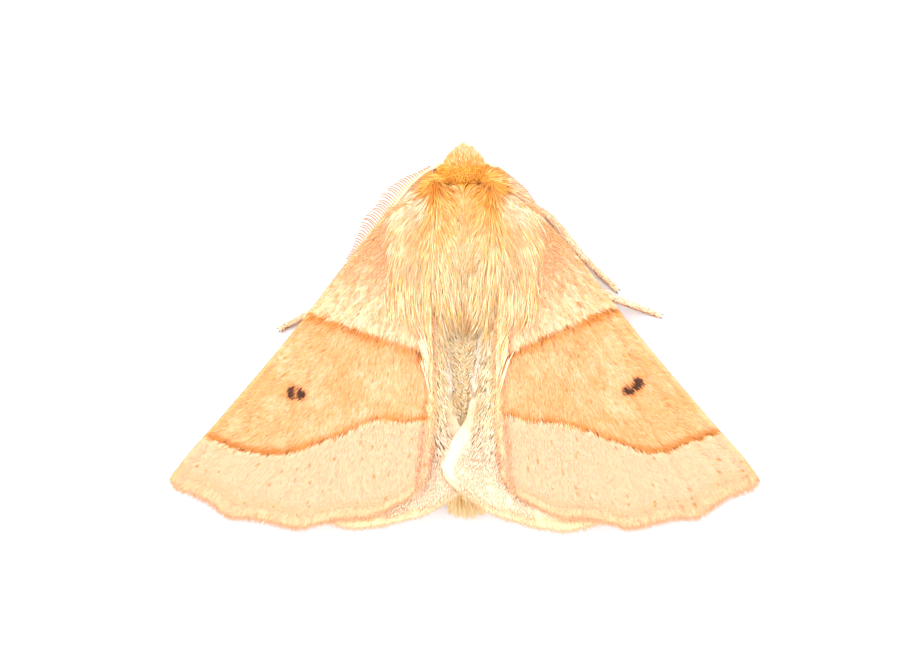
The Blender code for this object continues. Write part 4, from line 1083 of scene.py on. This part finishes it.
def growAbdomen():
    draw = np.random.default_rng(21)
    growClose("abdomen_coat", "abdomen_coat", coatCounts["abdomenUnder"],
              lambda x, y, forward, up: (y < 2.9) & (up < 0.5),
              (0, -1, 0), 0.12, (0.55, 0.95), (0.05, 0.09), 0.14, 22, draw)

    # the long hairs of its upper side, raised between the wings and meeting at the middle in chevrons
    count = coatCounts["abdomenUpper"]
    roots, normals = rootsOnSkin(
        count, lambda x, y, forward, up: ((y < 2.6) & (up > 0.25)) * (0.2 + (y > -4.9)), draw)
    aside = np.abs(roots[:, 0])
    slant = np.radians(draw.normal(36, 5, count)) * eased(roots[:, 1], 3.0, 1.2)
    length = draw.uniform(0.6, 0.95, count)
    length = np.minimum(length, (aside + draw.uniform(-0.02, 0.12, count)) / 0.6 + 0.12)
    way = np.stack([-np.sign(roots[:, 0]) * np.sin(slant), -np.cos(slant), 0 * slant], axis=1)
    low = draw.random(count) ** 2.5
    path = [roots - normals * rootDepth]
    for share in (0.35, 0.7, 1.0):
        spot = roots + way * column(length * share)
        under = np.maximum(bodyTop(spot[:, 0], spot[:, 1]), roots[:, 2])
        level = np.interp(spot[:, 1], *zip(*valley)) + 0.2 * np.minimum(np.abs(spot[:, 0]), 1)
        level = np.maximum(level, under)
        spot[:, 2] = under + (level - under) * eased(share, 0, 0.5) * (1 - 0.6 * low) + 0.12 * share
        path.append(spot)
    path = np.stack(path, axis=1)
    growHairs("abdomen_upper_coat", "abdomen_coat", path, (0.04, 0.075), 0.015, draw, ((0, 0.3), (2, 0.7)),
              unit(normals * 0.25 + skyward), roots)

    # the brush of the tail
    count = coatCounts["tail"]
    spread = draw.uniform(-1, 1, count)
    start = np.stack([spread * 0.5, -7.5 + 0.5 * draw.random(count), 0.55 + 0.6 * draw.random(count)], axis=1)
    end = np.stack([0.16 + spread * 1.0 + draw.normal(0, 0.08, count),
                    -9.5 + 0.25 * spread**2 + 0.12 * np.sin(spread * 14) + 0.9 * draw.random(count) ** 1.4,
                    0.35 + 0.95 * draw.random(count)], axis=1)
    path = np.stack([start, start * 0.65 + end * 0.35 + (0, 0, 0.05), start * 0.3 + end * 0.7, end], axis=1)
    growHairs("tail_brush", "abdomen_coat", path, (0.035, 0.07), 0.02, draw, ((3, 1),))


# How far forward the hair over each eye reaches, at distances out
headLook = {
    "forward": {-1: 0.1, 1: 0.16},
    "leftFront": ((1.1, 8.5), (1.5, 8.5), (1.7, 8.54), (1.9, 8.64), (2.2, 8.42), (2.6, 8.08), (3.0, 7.7)),
    "rightFront": ((1.1, 9.0), (1.5, 8.95), (1.95, 8.76), (2.4, 8.42), (2.9, 7.98), (3.3, 7.5)),
    "leftReach": 2.9, "rightReach": 3.2, "faceTip": (-0.05, 10.05, 2.66),
}


def levelledPath(start, end, shares, levels):  # from roots on the head, at levels for each share after them
    levels = (np.maximum(bodyTop(*start.T), 2.75) - rootDepth, *levels)
    return np.stack([np.column_stack([start * (1 - share) + end * share, level + np.zeros(len(start))])
                     for share, level in zip(shares, levels)], axis=1)


def growHead():
    draw = np.random.default_rng(31)
    # the face: short hairs drawn forward to one blunt point, ruffled
    count, tip = coatCounts["face"], headLook["faceTip"]
    roots, normals = rootsOnSkin(
        count, lambda x, y, forward, up: (y > 8.72) * (0.35 + eased(forward, -0.2, 0.7)), draw)
    spread = np.stack([roots[:, 0] * 0.5, 0 * roots[:, 0], (roots[:, 2] - tip[2]) * 0.5], axis=1)
    reach = np.array(tip) + spread - roots
    ways = unit(unit(reach) + normals * 0.14 + draw.normal(0, 0.12, roots.shape))
    length = (0.5 - 0.04 * eased(roots[:, 1], 9.0, 9.6)) * draw.uniform(0.55, 1.15, count)
    path = np.stack([roots - normals * rootDepth, *[
        roots + ways * column(length) * share + normals * 0.07 * math.sin(math.pi * share * 0.8)
        for share in (0.35, 0.7, 1.0)]], 1)
    growHairs("face_coat", "head_coat", path, (0.045, 0.08), 0.03, draw, ((0, 0.3), (2, 0.7)), normals, roots)

    # the crown: short curly hairs, flecked with brown
    count = coatCounts["crown"]
    roots, normals = rootsOnSkin(count, lambda x, y, forward, up: (y > 7.9) & (y < 9.0) & (up > 0.1) & (
        (x > -0.95) | (y < 8.3)) & (y < 9.15 - 0.45 * np.abs(x)), draw)
    ways = np.stack([draw.normal(0, 1, count), draw.normal(0.45, 1, count), np.zeros(count)], axis=1)
    makeCoat("crown_coat", "head_coat", roots, normals, ways, draw.uniform(0.25, 0.5, count),
             draw.uniform(0.045, 0.075, count), 0.2 + 0.25 * draw.random(count), 32, curl=0.4)

    # over the eyes, out to the feelers, and over the feelers' first joints
    for side, word in bothSides:
        count = coatCounts["temple"]
        out = draw.uniform(1.1, headLook[word + "Reach"], count)
        limit = np.interp(out, *zip(*headLook[word + "Front"]))
        limit = limit + headLook["forward"][side] * eased(out, 1.5, 1.9)
        start = np.column_stack([side * draw.uniform(0.3, 0.8, count), draw.uniform(7.85, 8.45, count)])
        end = np.column_stack([side * out, limit - draw.random(count) ** 1.2 * 0.75])
        height = 3.55 - 0.28 * np.maximum(out - 1.2, 0)
        path = levelledPath(start, end, (0, 0.35, 0.7, 1.0), (3.5, height * 0.5 + 1.76, height))
        path[:, 1:, 2] += column(draw.uniform(-0.12, 0.2, count))
        growHairs(f"temple_{word}_coat", "head_coat", path, (0.035, 0.06), 0.015, draw, ((0, 0.2), (2, 0.8)))

        count = coatCounts["brow"]  # beside the face
        start = np.column_stack([side * draw.uniform(0.3, 0.75, count), draw.uniform(8.85, 9.3, count)])
        end = np.column_stack([side * draw.uniform(0.85, 1.35, count), draw.uniform(8.78, 9.04, count)])
        end[:, 1] = np.minimum(end[:, 1], 9.42 - 0.42 * (np.abs(end[:, 0]) - 0.7))
        path = levelledPath(start, end, (0, 0.5, 1.0), (3.3, 3.2))
        path[:, 1:, 2] += column(draw.uniform(-0.3, 0.2, count))
        growHairs(f"brow_{word}_coat", "head_coat", path, (0.035, 0.055), 0.015, draw, ((0, 0.3), (2, 0.7)))

    # a dark line of hairs across the nape: painted shadow where the crown's hair overhangs the collar
    count = coatCounts["nape"]
    x = draw.uniform(-1.15, 0.8, count)
    y = napeLine(x) + draw.normal(0, 0.02, count)
    way = unit(np.stack([np.ones(count), 0.34 * (x + 0.1) + draw.normal(0, 0.2, count), 0 * x], axis=1))
    roots = np.stack([x, y, mantleTop(x, y) + 0.12 + 0.06 * draw.random(count)], axis=1)
    length = column(draw.uniform(0.18, 0.36, count))
    path = np.stack([roots - (0, 0, 0.3), roots + way * length * 0.5,
                     roots + way * length - (0, 0, 0.05)], axis=1)
    makeTufts("nape_shadow_hairs", "head_coat", path, np.full(count, 0.03), 0.02, skinUnwrap(roots), napeShadowStuff, draw)

    growClose("chin_coat", "head_coat", coatCounts["chin"],
              lambda x, y, forward, up: (y > 7.6) & (up < 0.15) & (y < 9.5),
              (0, 0.8, -0.5), 0.25, (0.3, 0.6), (0.05, 0.08), 0.15, 34, draw)


# Flat strands on a wing, from shares across and along it, turned inward by lean
def makeWingHairs(name, kind, side, u, v, draw, length, lean, lift, droop, material, clear=None):
    surface, count, wing = wings[kind, side], len(u), foreWing if kind == "forewing" else hindWing
    roots = surface(u, v)
    way = turnedBy(wayAlong(surface, u, v), draw.normal(0, 0.1, count))
    way = unit(way + np.array((-side, 0, 0)) * column(lean))
    tucked = draw.random(count) ** 1.6
    reach = column(length)
    if wing is foreWing:
        roots = insideEdge(roots, roots + way * reach, v, wing, side, surface)
    path = np.stack([roots - (0, 0, 0.05), *[
        roots + way * reach * share + np.outer(lift * math.sin(share * 2.2) + 0.03 - droop * share**2, skyward)
        for share in (0.5, 1.0)]], axis=1)
    if wing is hindWing:  # raised beside the forewing's edge, down to the edge along the abdomen
        for spot in (path[:, 1], path[:, 2]):
            inner = np.interp(spot[:, 1], (-4.5, 0.0, 2.0), (0.15, 0.95, 1.1))
            spot[:, 0] = side * np.maximum(side * spot[:, 0], np.where(clear, inner + 0.08, -9))
            full = eased(side * spot[:, 0], inner, 1.85) * eased(spot[:, 1], -7.0, -5.2)
            gap = np.maximum(wingHeight(spot[:, 0], spot[:, 1], foreWing, side) - 0.08 - spot[:, 2], 0)
            spot[:, 2] += gap * full * (1 - 0.25 * tucked)
    bakeRoot = np.stack([u * 0.97 + 0.01, v * 0.97 + 0.01], axis=1)
    width = draw.uniform(0.035, 0.055, count) * (1.25 if wing is hindWing else 1)
    makeTufts(name, kind + "_scales", path, width, 0.01, bakeRoot, material, draw,
              colourAt=roots + way * reach * 0.4, toneFrom=0.6 if wing is foreWing else 0.0,
              wingShare=np.stack([u, v, 0 * u], axis=1))


# Long hairs over the wing roots and down the inner edges, white along the hindwings' edges
def growWingHairs():
    for side, word in bothSides:
        draw = np.random.default_rng(51 + side)
        surface = wings["forewing", side]
        count = coatCounts["wingRoot"]
        u, v = scatteredShares(surface, count, draw, (0.0, 0.45),
                               lambda u, v: np.exp(-(v / 0.2) ** 2) + 0.7 * (u > 0.85) * (v < 0.45))
        makeWingHairs(f"wingroot_{word}_hairs", "forewing", side, u, v, draw,
                      draw.uniform(0.5, 1.2, count) * (0.6 + 0.6 * eased(v, 0.25, 0.0)),
                      -0.3 * eased(u, 0.5, 0.05), 0.1 * draw.random(count), 0.0 * u, forewingStuff)

        count = coatCounts["forewingInner"]  # the inner edge's soft fringe
        v = draw.uniform(0.1, 0.99, count)
        u = 1 - draw.random(count) ** 1.3 * 0.08
        makeWingHairs(f"forewing_{word}_inner_fringe", "forewing", side, u, v, draw,
                      draw.uniform(0.35, 0.9, count) * (1 - 0.5 * eased(v, 0.8, 0.98)),
                      draw.uniform(0.15, 0.6, count) * eased(u, 0.9, 1.0), 0.03 + 0 * u,
                      0.6 * draw.random(count) * eased(u, 0.92, 1.0), forewingStuff)

        count = coatCounts["hindwingInner"]  # golden ones beside the forewing, and the white ones of the edge
        v = draw.uniform(0.02, 0.96, count)
        white = (draw.random(count) < 0.3) & (v < 0.5)
        u = np.where(white, 1 - draw.random(count) ** 1.4 * 0.05, 0.62 + 0.31 * draw.random(count))
        length = draw.uniform(0.6, 1.15, count) * (1 - 0.55 * eased(v, 0.66, 0.85))
        lean = np.where(white, draw.uniform(-0.02, 0.15, count),
                        draw.uniform(0.25, 0.5, count) * eased(v, 0.8, 0.6))
        lift = np.where(white, 0.14, 0.04) + 0.08 * draw.random(count)
        droop = np.where(white, 0.3 * draw.random(count), 0.0) * eased(v, 0.75, 0.6)
        makeWingHairs(f"hindwing_{word}_inner_hairs", "hindwing", side, u, v, draw, length, lean, lift, droop,
                      hindwingStuff, clear=~white & (v < 0.7))


growThorax()
growAbdomen()
growHead()
growWingHairs()
print("coat ready")


antennaStuff = plainMaterial("Antenna cream", tint(255, 216, 176), tint(240, 190, 140), 0.6, 6000, 0.00002)
clawStuff = plainMaterial("Claw", tint(77, 41, 21), tint(39, 20, 10), 0.35, 6000, 0.00001)


def combMaterial():  # pale beside the stalk, orange to the tips
    material, tree, shader = newMaterial("Antenna comb", 0.55, (0.9, 0.5, 0.2, 1), Specular_IOR_Level=0.3)
    toTip = step(tree, readValue(tree, "along"), 0.0, 0.6)
    colour = blend(tree, toTip, tint(244, 190, 96), tint(192, 108, 20))
    dress(tree, shader, colour, objectNap(tree, 5000.0)["Height"], 0.00001, 0.4)
    return material


def legMaterial():  # cream-tan above, brown along the rear: painted shade on the side turned away from the light
    material, tree, shader = newMaterial("Leg scales", 0.7, (0.9, 0.7, 0.5, 1), Specular_IOR_Level=0.2)
    nap = objectNap(tree, 4500.0)
    colour = blend(tree, step(tree, nap["Shade"], 0.35, 0.65), tint(248, 222, 190), tint(240, 204, 164))
    # painted shade: brown on the side of the leg that faces back, away from the light
    colour = blend(tree, step(tree, readValue(tree, "rear"), 0.4, 0.95, 0.8), colour, tint(196, 132, 84))
    dress(tree, shader, colour, nap["Height"], 0.00003, 0.6)
    return material


combStuff = combMaterial()
legStuff = legMaterial()

def outwardFrom(ways, turn):  # directions out from a limb that runs along ways, at turns round it
    aside = unit(np.cross(ways, skyward))
    return aside * column(np.cos(turn)) + np.cross(aside, ways) * column(np.sin(turn))


def tapered(line, sides, shares, radii):  # a round, tapering form along a line, by its radii at shares of it
    return tubeForm(line, np.interp(np.linspace(0, 1, len(line)), shares, radii), sides)


antenna = {
    "line": ((0.7, 8.85, 2.9), (1.25, 9.0, 3.1), (1.95, 8.7, 3.08), (2.75, 8.0, 2.9), (3.35, 7.28, 2.76),
             (3.8, 6.66, 2.7), (4.4, 5.9, 2.6), (5.25, 4.9, 2.4), (6.05, 3.9, 2.2)),
    "radius": 0.12, "rings": 52, "rami": 46, "ramusLength": 0.85, "ramusRadii": (0.0403, 0.031, 0.0186),
    "hang": {-1: -0.12, 1: 1.7}, "reach": {-1: 1.0, 1: 0.45}, "tuck": {-1: 0.0, 1: 0.42}, "ciliaPerRamus": 9,
}


def makeAntenna(side, word):
    draw = np.random.default_rng(61 + side)
    tuck = antenna["tuck"][side]
    at = alongCurve([(side * (x - tuck * float(eased(x, 3.2, 4.4))), y, z) for x, y, z in antenna["line"]])
    shares = np.linspace(0, 1, antenna["rings"] * 4)
    beads = 1 + 0.1 * np.sin(shares * antenna["rings"] * 2 * math.pi)
    radii = antenna["radius"] * (1 - 0.55 * shares**1.5) * beads
    radii = radii + 0.05 * np.exp(-((shares - 0.035) / 0.03) ** 2)  # the swollen first joint
    points, walls, caps = tubeForm(at(shares), radii, 10)
    shaft = makeObject(f"antenna_{word}_shaft", points, [walls, caps], antennaStuff)
    placePiece(shaft, "antenna", f"antenna_{word}")

    rami, cilia = [], []
    for i in range(antenna["rami"]):
        done = i / (antenna["rami"] - 1)
        share = 0.15 + 0.83 * done
        along = unit(at(share + 0.01) - at(share - 0.01))
        outward = unit(np.cross(along, (0, 0, -1))) * side
        swell = float((0.14 + 0.86 * eased(done, 0.0, 0.36)) * (1 - 0.75 * eased(done, 0.6, 1.0)))
        for lean, size in ((outward - np.array((0, 0, antenna["hang"][side])), 1.0),
                           (-outward * 0.2 - np.array((0, 0, 0.9)), 0.5)):
            lean = unit(lean)
            way = unit(lean - along * 0.18 + draw.normal(0, 0.04, 3))
            length = antenna["ramusLength"] * antenna["reach"][side] * swell * size * draw.uniform(0.93, 1.05)
            start = at(share) + lean * 0.06
            line = np.array([start, start + way * length * 0.4,
                             start + unit(way + along * 0.12) * length * 0.75,
                             start + unit(way + along * 0.3) * length])
            rami.append(tapered(smoothLine(line, 3), 5, (0, 0.2, 1), antenna["ramusRadii"]))
            for j in range(antenna["ciliaPerRamus"]):
                spot = line[0] + (line[-1] - line[0]) * (j + 1) / (antenna["ciliaPerRamus"] + 1)
                for turn in (-1, 1):
                    cilia.append((spot, spot + unit(along * turn + way * 0.5) * 0.08))
    points, faces = joinForms(rami)
    done = np.append(np.repeat(np.linspace(0, 1, 10), 5), (0, 1))
    comb = makeObject(f"antenna_{word}_rami", points, faces, combStuff, along=np.tile(done, len(rami)))
    placePiece(comb, "antenna")
    cilia = np.array(cilia)
    path = np.stack([cilia[:, 0], cilia.mean(axis=1), cilia[:, 1]], axis=1)
    count = len(cilia)
    row = np.linspace(0.01, 0.98, count // 4)
    bakeRoot = np.stack([np.tile(row, 4), np.repeat((0.1, 0.3, 0.5, 0.7), count // 4)], axis=1)
    makeTufts(f"antenna_{word}_cilia", "antenna", path, np.full(count, 0.012), 0.01, bakeRoot, combStuff, draw)


eyeLook = {"centre": (1.12, 8.5, 2.55), "radii": (0.58, 0.6, 0.6), "innerSide": 0.8, "facets": 24000.0}
palpLook = {"line": ((0.42, 9.2, 1.75), (0.42, 9.42, 1.5), (0.36, 9.62, 1.42), (0.3, 9.82, 1.5)),
            "radii": ((0, 0.16), (0.3, 0.2), (0.8, 0.17), (1, 0.07)), "hairWidth": 0.05}


def makeEyes():
    material, tree, shader = newMaterial("Compound eye", 0.4, (0.05, 0.03, 0.02, 1), Coat_Weight=0.1,
                                         Specular_IOR_Level=0.3)
    where = addNode(tree, "ShaderNodeTexCoord").outputs["Object"]
    cells = addNode(tree, "ShaderNodeTexVoronoi", {"Vector": where, "Scale": eyeLook["facets"]})
    mottle = noise(tree, where, 3500.0, 2.0)
    colour = blend(tree, step(tree, mottle, 0.42, 0.62), tint(34, 22, 18), tint(112, 62, 34))
    dress(tree, shader, colour, sums(tree, "SUBTRACT", 1.0, cells.outputs["Distance"]), 0.00003, 0.8)
    for side, word in bothSides:
        points, walls, caps = ballForm(np.array(eyeLook["centre"]) * (side, 1, 1), eyeLook["radii"], 40, 26)
        points[:, 0] = side * np.maximum(side * points[:, 0], eyeLook["innerSide"])
        eye = makeObject(f"eye_{word}_ball", points, [walls, caps], material)
        placePiece(eye, "eye", f"eye_{word}")


def makePalps():
    for side, word in bothSides:
        draw = np.random.default_rng(71 + side)
        line = smoothLine(np.array(palpLook["line"]) * (side, 1, 1), 4)
        radii = np.interp(np.linspace(0, 1, len(line)), *zip(*palpLook["radii"]))
        points, walls, caps = tubeForm(line, radii, 12)
        half = np.full(len(points), 0.5)
        palp = makeObject(f"palp_{word}_core", points, [walls, caps], coatStuff, place=points, along=half,
                          chance=half, tone=half)
        placePiece(palp, "head_coat", f"palp_{word}")
        count = coatCounts["palp"]
        pick = draw.integers(0, len(line) - 1, count)
        turn = draw.random(count) * 2 * math.pi
        ways = unit(np.gradient(line, axis=0))[pick]
        outward = outwardFrom(ways, turn)
        roots = line[pick] + outward * column(radii[pick] * 0.9)
        length = column(draw.uniform(0.16, 0.32, count))
        path = np.stack([roots, roots + unit(ways + outward * 0.5) * length * 0.5,
                         roots + unit(ways + outward * 0.35) * length], axis=1)
        path[:, :, 2] = np.maximum(path[:, :, 2], 1.1)
        bakeRoot = np.stack([turn / 6.4, pick / len(line)], axis=1)
        makeTufts(f"palp_{word}_coat", "head_coat", path, np.full(count, palpLook["hairWidth"]), 0.03, bakeRoot,
                  coatStuff, draw, outward, roots + (0, -0.4, 0.6))


legs = {  # the way each leaves the thorax's middle, then its knee, ankle and toe
    "foreleg_right": ((0.55, 0.75, -0.8), (4.04, 6.58, 1.5), (6.02, 4.42, 0.95), (8.02, 2.5, 0.15)),
    "foreleg_left": ((-0.55, 0.75, -0.8), (-3.1, 7.1, 1.45), (-4.9, 5.2, 0.9), (-6.3, 3.3, 0.15)),
    "midleg_right": ((0.7, 0.1, -0.8), (4.3, 4.0, 1.75), (7.3, 2.3, 1.15), (10.3, 1.15, 0.15)),
    "midleg_left": ((-0.7, 0.1, -0.8), (-4.1, 3.8, 1.7), (-6.8, 2.0, 1.05), (-9.7, 0.45, 0.15)),
    "hindleg_right": ((0.6, -0.6, -0.8), (3.0, 1.6, 1.3), (3.9, -2.3, 0.8), (5.0, -5.2, 0.15)),
    "hindleg_left": ((-0.6, -0.6, -0.8), (-3.0, 1.5, 1.3), (-3.8, -2.4, 0.8), (-4.7, -5.4, 0.15)),
}
# hipOval is the oval round the thorax's middle that the hips are on, at hipShare of its radii
legLook = {"hipOval": (1.8, 2.5, 1.9), "hipShare": 0.97, "femur": 0.26, "knee": 0.22, "tibia": 0.215,
           "ankle": 0.19, "tarsus": 0.175, "toe": 0.125, "claw": (0.032, 0.008), "spur": (0.035, 0.04, 0.01),
           "scales": 1500, "scaleLength": 0.2, "scaleWidth": 0.06}


def makeLeg(name):
    look = legLook
    draw = np.random.default_rng(len(name) * 31 + ord(name[0]) + ord(name[-4]))
    leaves, knee, ankle, toe = legs[name]
    knee, ankle, toe = np.array(knee), np.array(ankle), np.array(toe)
    way = np.array(leaves) / np.linalg.norm(np.array(leaves) / look["hipOval"])
    hip = np.array(body["thorax"][0]) + way * look["hipShare"]
    back = unit(np.append(ankle[:2] - toe[:2], 0))
    heel = toe + back * 0.7 + (0, 0, 0.02)
    coxa = hip + (knee - hip) * 0.25 + (0, 0, -0.12)
    at = alongCurve([hip, coxa, knee, ankle, heel, toe])
    grid = np.linspace(0, 1, 400)
    places = at(grid)
    kneeAt = grid[np.argmin(np.linalg.norm(places - knee, axis=1))]
    ankleAt = grid[np.argmin(np.linalg.norm(places - ankle, axis=1))]
    joints = [ankleAt + (1 - ankleAt) * s for s in (0.0, 0.42, 0.62, 0.78, 0.9, 1.0)]
    rings = [(joint - 0.008, joint, joint + 0.012) for joint in joints[:-1]]
    shares = np.clip(np.unique(np.concatenate([np.linspace(0, 1, 60), [kneeAt], *rings])), 0, 1)
    radii = np.interp(shares, (0, kneeAt * 0.45, kneeAt - 0.03, kneeAt, kneeAt + 0.03, (kneeAt + ankleAt) / 2,
                               ankleAt - 0.02, ankleAt, ankleAt + 0.03, 1),
                      (look["knee"], look["femur"], look["knee"] * 1.1, look["knee"] * 0.85,
                       look["tibia"] * 0.85, look["tibia"], look["tibia"] * 0.95, look["ankle"] * 0.75,
                       look["tarsus"], look["toe"]))
    for joint in joints[1:-1]:
        radii *= 1 - 0.28 * np.exp(-((shares - joint) / 0.008) ** 2)
    line = at(shares)
    line[:, 2] = np.maximum(line[:, 2], radii + 0.01)
    points, walls, caps = tubeForm(line, radii, 12)
    # how far each point faces back, away from the light, where the leg material paints shade
    rear = -unit(points[:-2].reshape(len(line), 12, 3) - line[:, None])[:, :, 1].ravel()
    core = makeObject(name + "_core", points, [walls, caps], legStuff, rear=np.append(rear, (0, 0)))
    placePiece(core, "leg", name)

    forms = []  # spurs at the ankle and a pair of claws at the toe
    ways = unit(np.gradient(line, axis=0))
    last = len(line) - 1
    aside = unit(np.cross(ways[last], (0, 0, 1)))
    for turn in (-1, 1):
        start = line[last] + aside * 0.05 * turn
        hook = [start, start + ways[last] * 0.08 + aside * 0.05 * turn + (0, 0, 0.03),
                start + ways[last] * 0.17 + aside * 0.08 * turn + (0, 0, -0.03)]
        forms.append(tapered(smoothLine(hook, 3), 6, (0, 1), look["claw"]))
    placePiece(makeObject(name + "_claws", *joinForms(forms), clawStuff), "leg")
    if not name.startswith("foreleg"):
        forms, spot = [], np.argmin(np.abs(shares - ankleAt + 0.015))
        aside = unit(np.cross(ways[spot], (0, 0, 1)))
        for turn in (-1, 1):
            start = line[spot] + aside * 0.12 * turn
            reach = [start, start + ways[spot] * 0.25 + aside * 0.12 * turn,
                     start + ways[spot] * 0.5 + aside * 0.17 * turn]
            forms.append(tapered(smoothLine(reach, 3), 6, (0, 0.5, 1), look["spur"]))
        points, faces = joinForms(forms)
        placePiece(makeObject(name + "_spurs", points, faces, legStuff, rear=0.3 + 0 * points[:, 0]), "leg")

    count = look["scales"]
    run = np.sort(draw.random(count)) * 0.985
    turn = draw.random(count) * 2 * math.pi
    middle = np.stack([np.interp(run, shares, line[:, k]) for k in range(3)], axis=1)
    thick = np.interp(run, shares, radii)
    ways = unit(np.stack([np.interp(run, shares, ways[:, k]) for k in range(3)], axis=1))
    outward = outwardFrom(ways, turn)
    roots = middle + outward * column(thick * 0.96)
    length = column(look["scaleLength"] * draw.uniform(0.7, 1.4, count))
    lift = column(draw.uniform(0.02, 0.06, count))
    path = np.stack([roots, roots + ways * length * 0.5 + outward * lift * 0.7,
                     roots + ways * length + outward * lift], axis=1)
    path[:, :, 2] = np.maximum(path[:, :, 2], 0.012)
    bakeRoot = np.stack([turn / 6.4, run * 0.98], axis=1)
    # each scale's facing back, for the painted shade on the leg's far side from the light
    makeTufts(name + "_scales", "leg", path, look["scaleWidth"] * draw.uniform(0.7, 1.3, count), 0.02, bakeRoot,
              legStuff, draw, outward, rear=-outward[:, 1])


for side, word in bothSides:
    makeAntenna(side, word)
makeEyes()
makePalps()
for name in legs:
    makeLeg(name)
print("head, feelers and legs ready")


# In metres and watts, but for the view's centre in millimetres
studio = {
    "floorSize": 0.9, "floorTone": 0.76, "world": 2.0, "away": 0.6, "viewWide": 0.04705,
    "viewCentre": (-0.758, 0.562), "wingLevel": 0.003,
    "lights": (("key_light", (-0.18, 0.2, 0.34), 0.22, 1.0), ("fill_light", (0.25, -0.1, 0.3), 0.3, 0.2)),
}


def makeFloor():
    half = studio["floorSize"] / 2 / mm
    points = np.array([(-half, -half, 0), (half, -half, 0), (half, half, 0), (-half, half, 0)], float)
    material, tree, shader = newMaterial("Paper", 0.9, (1, 1, 1, 1), Specular_IOR_Level=0.1)
    where = addNode(tree, "ShaderNodeTexCoord").outputs["Object"]
    tone = studio["floorTone"]
    colour = blend(tree, noise(tree, where, 300.0, 3.0), (tone, tone * 0.98, tone, 1),
                   (tone * 0.985, tone * 0.965, tone, 1))
    tree.links.new(colour, shader.inputs["Base Color"])
    floor = makeObject("studio_floor", points, np.array([[0, 1, 2, 3]]), material)


def addLight(name, place, size, watts):  # a round lamp that faces the moth
    light = bpy.data.lights.new(name, "AREA")
    light.shape, light.size, light.energy = "DISK", size, watts
    lamp = bpy.data.objects.new(name, light)
    lamp.location = place
    tilt = math.acos(place[2] / math.dist(place, (0, 0, 0)))
    lamp.rotation_euler = (tilt, 0, math.atan2(place[1], place[0]) + math.pi / 2)
    bpy.context.scene.collection.objects.link(lamp)


def makeStudio():
    makeFloor()
    world = bpy.data.worlds.new("Studio")
    world.use_nodes = True
    world.node_tree.nodes["Background"].inputs["Color"].default_value = (1, 0.995, 0.99, 1)
    world.node_tree.nodes["Background"].inputs["Strength"].default_value = studio["world"]
    bpy.context.scene.world = world
    for light in studio["lights"]:
        addLight(*light)
    view = bpy.context.scene.view_settings
    view.view_transform = "Standard"
    view.look = "None"
    camera = bpy.data.cameras.new("camera")
    camera.sensor_width = 36
    camera.lens = 36 * (studio["away"] - studio["wingLevel"]) / studio["viewWide"]
    camera.clip_start, camera.clip_end = 0.01, 20
    stand = bpy.data.objects.new("camera", camera)
    stand.location = (studio["viewCentre"][0] * mm, studio["viewCentre"][1] * mm, studio["away"])
    bpy.context.scene.collection.objects.link(stand)
    bpy.context.scene.camera = stand


makeStudio()
tally = sum(len(o.data.polygons) for o in bpy.data.objects if o.type == "MESH" and o.name not in frame["nodes"])
print("faces in all:", tally)
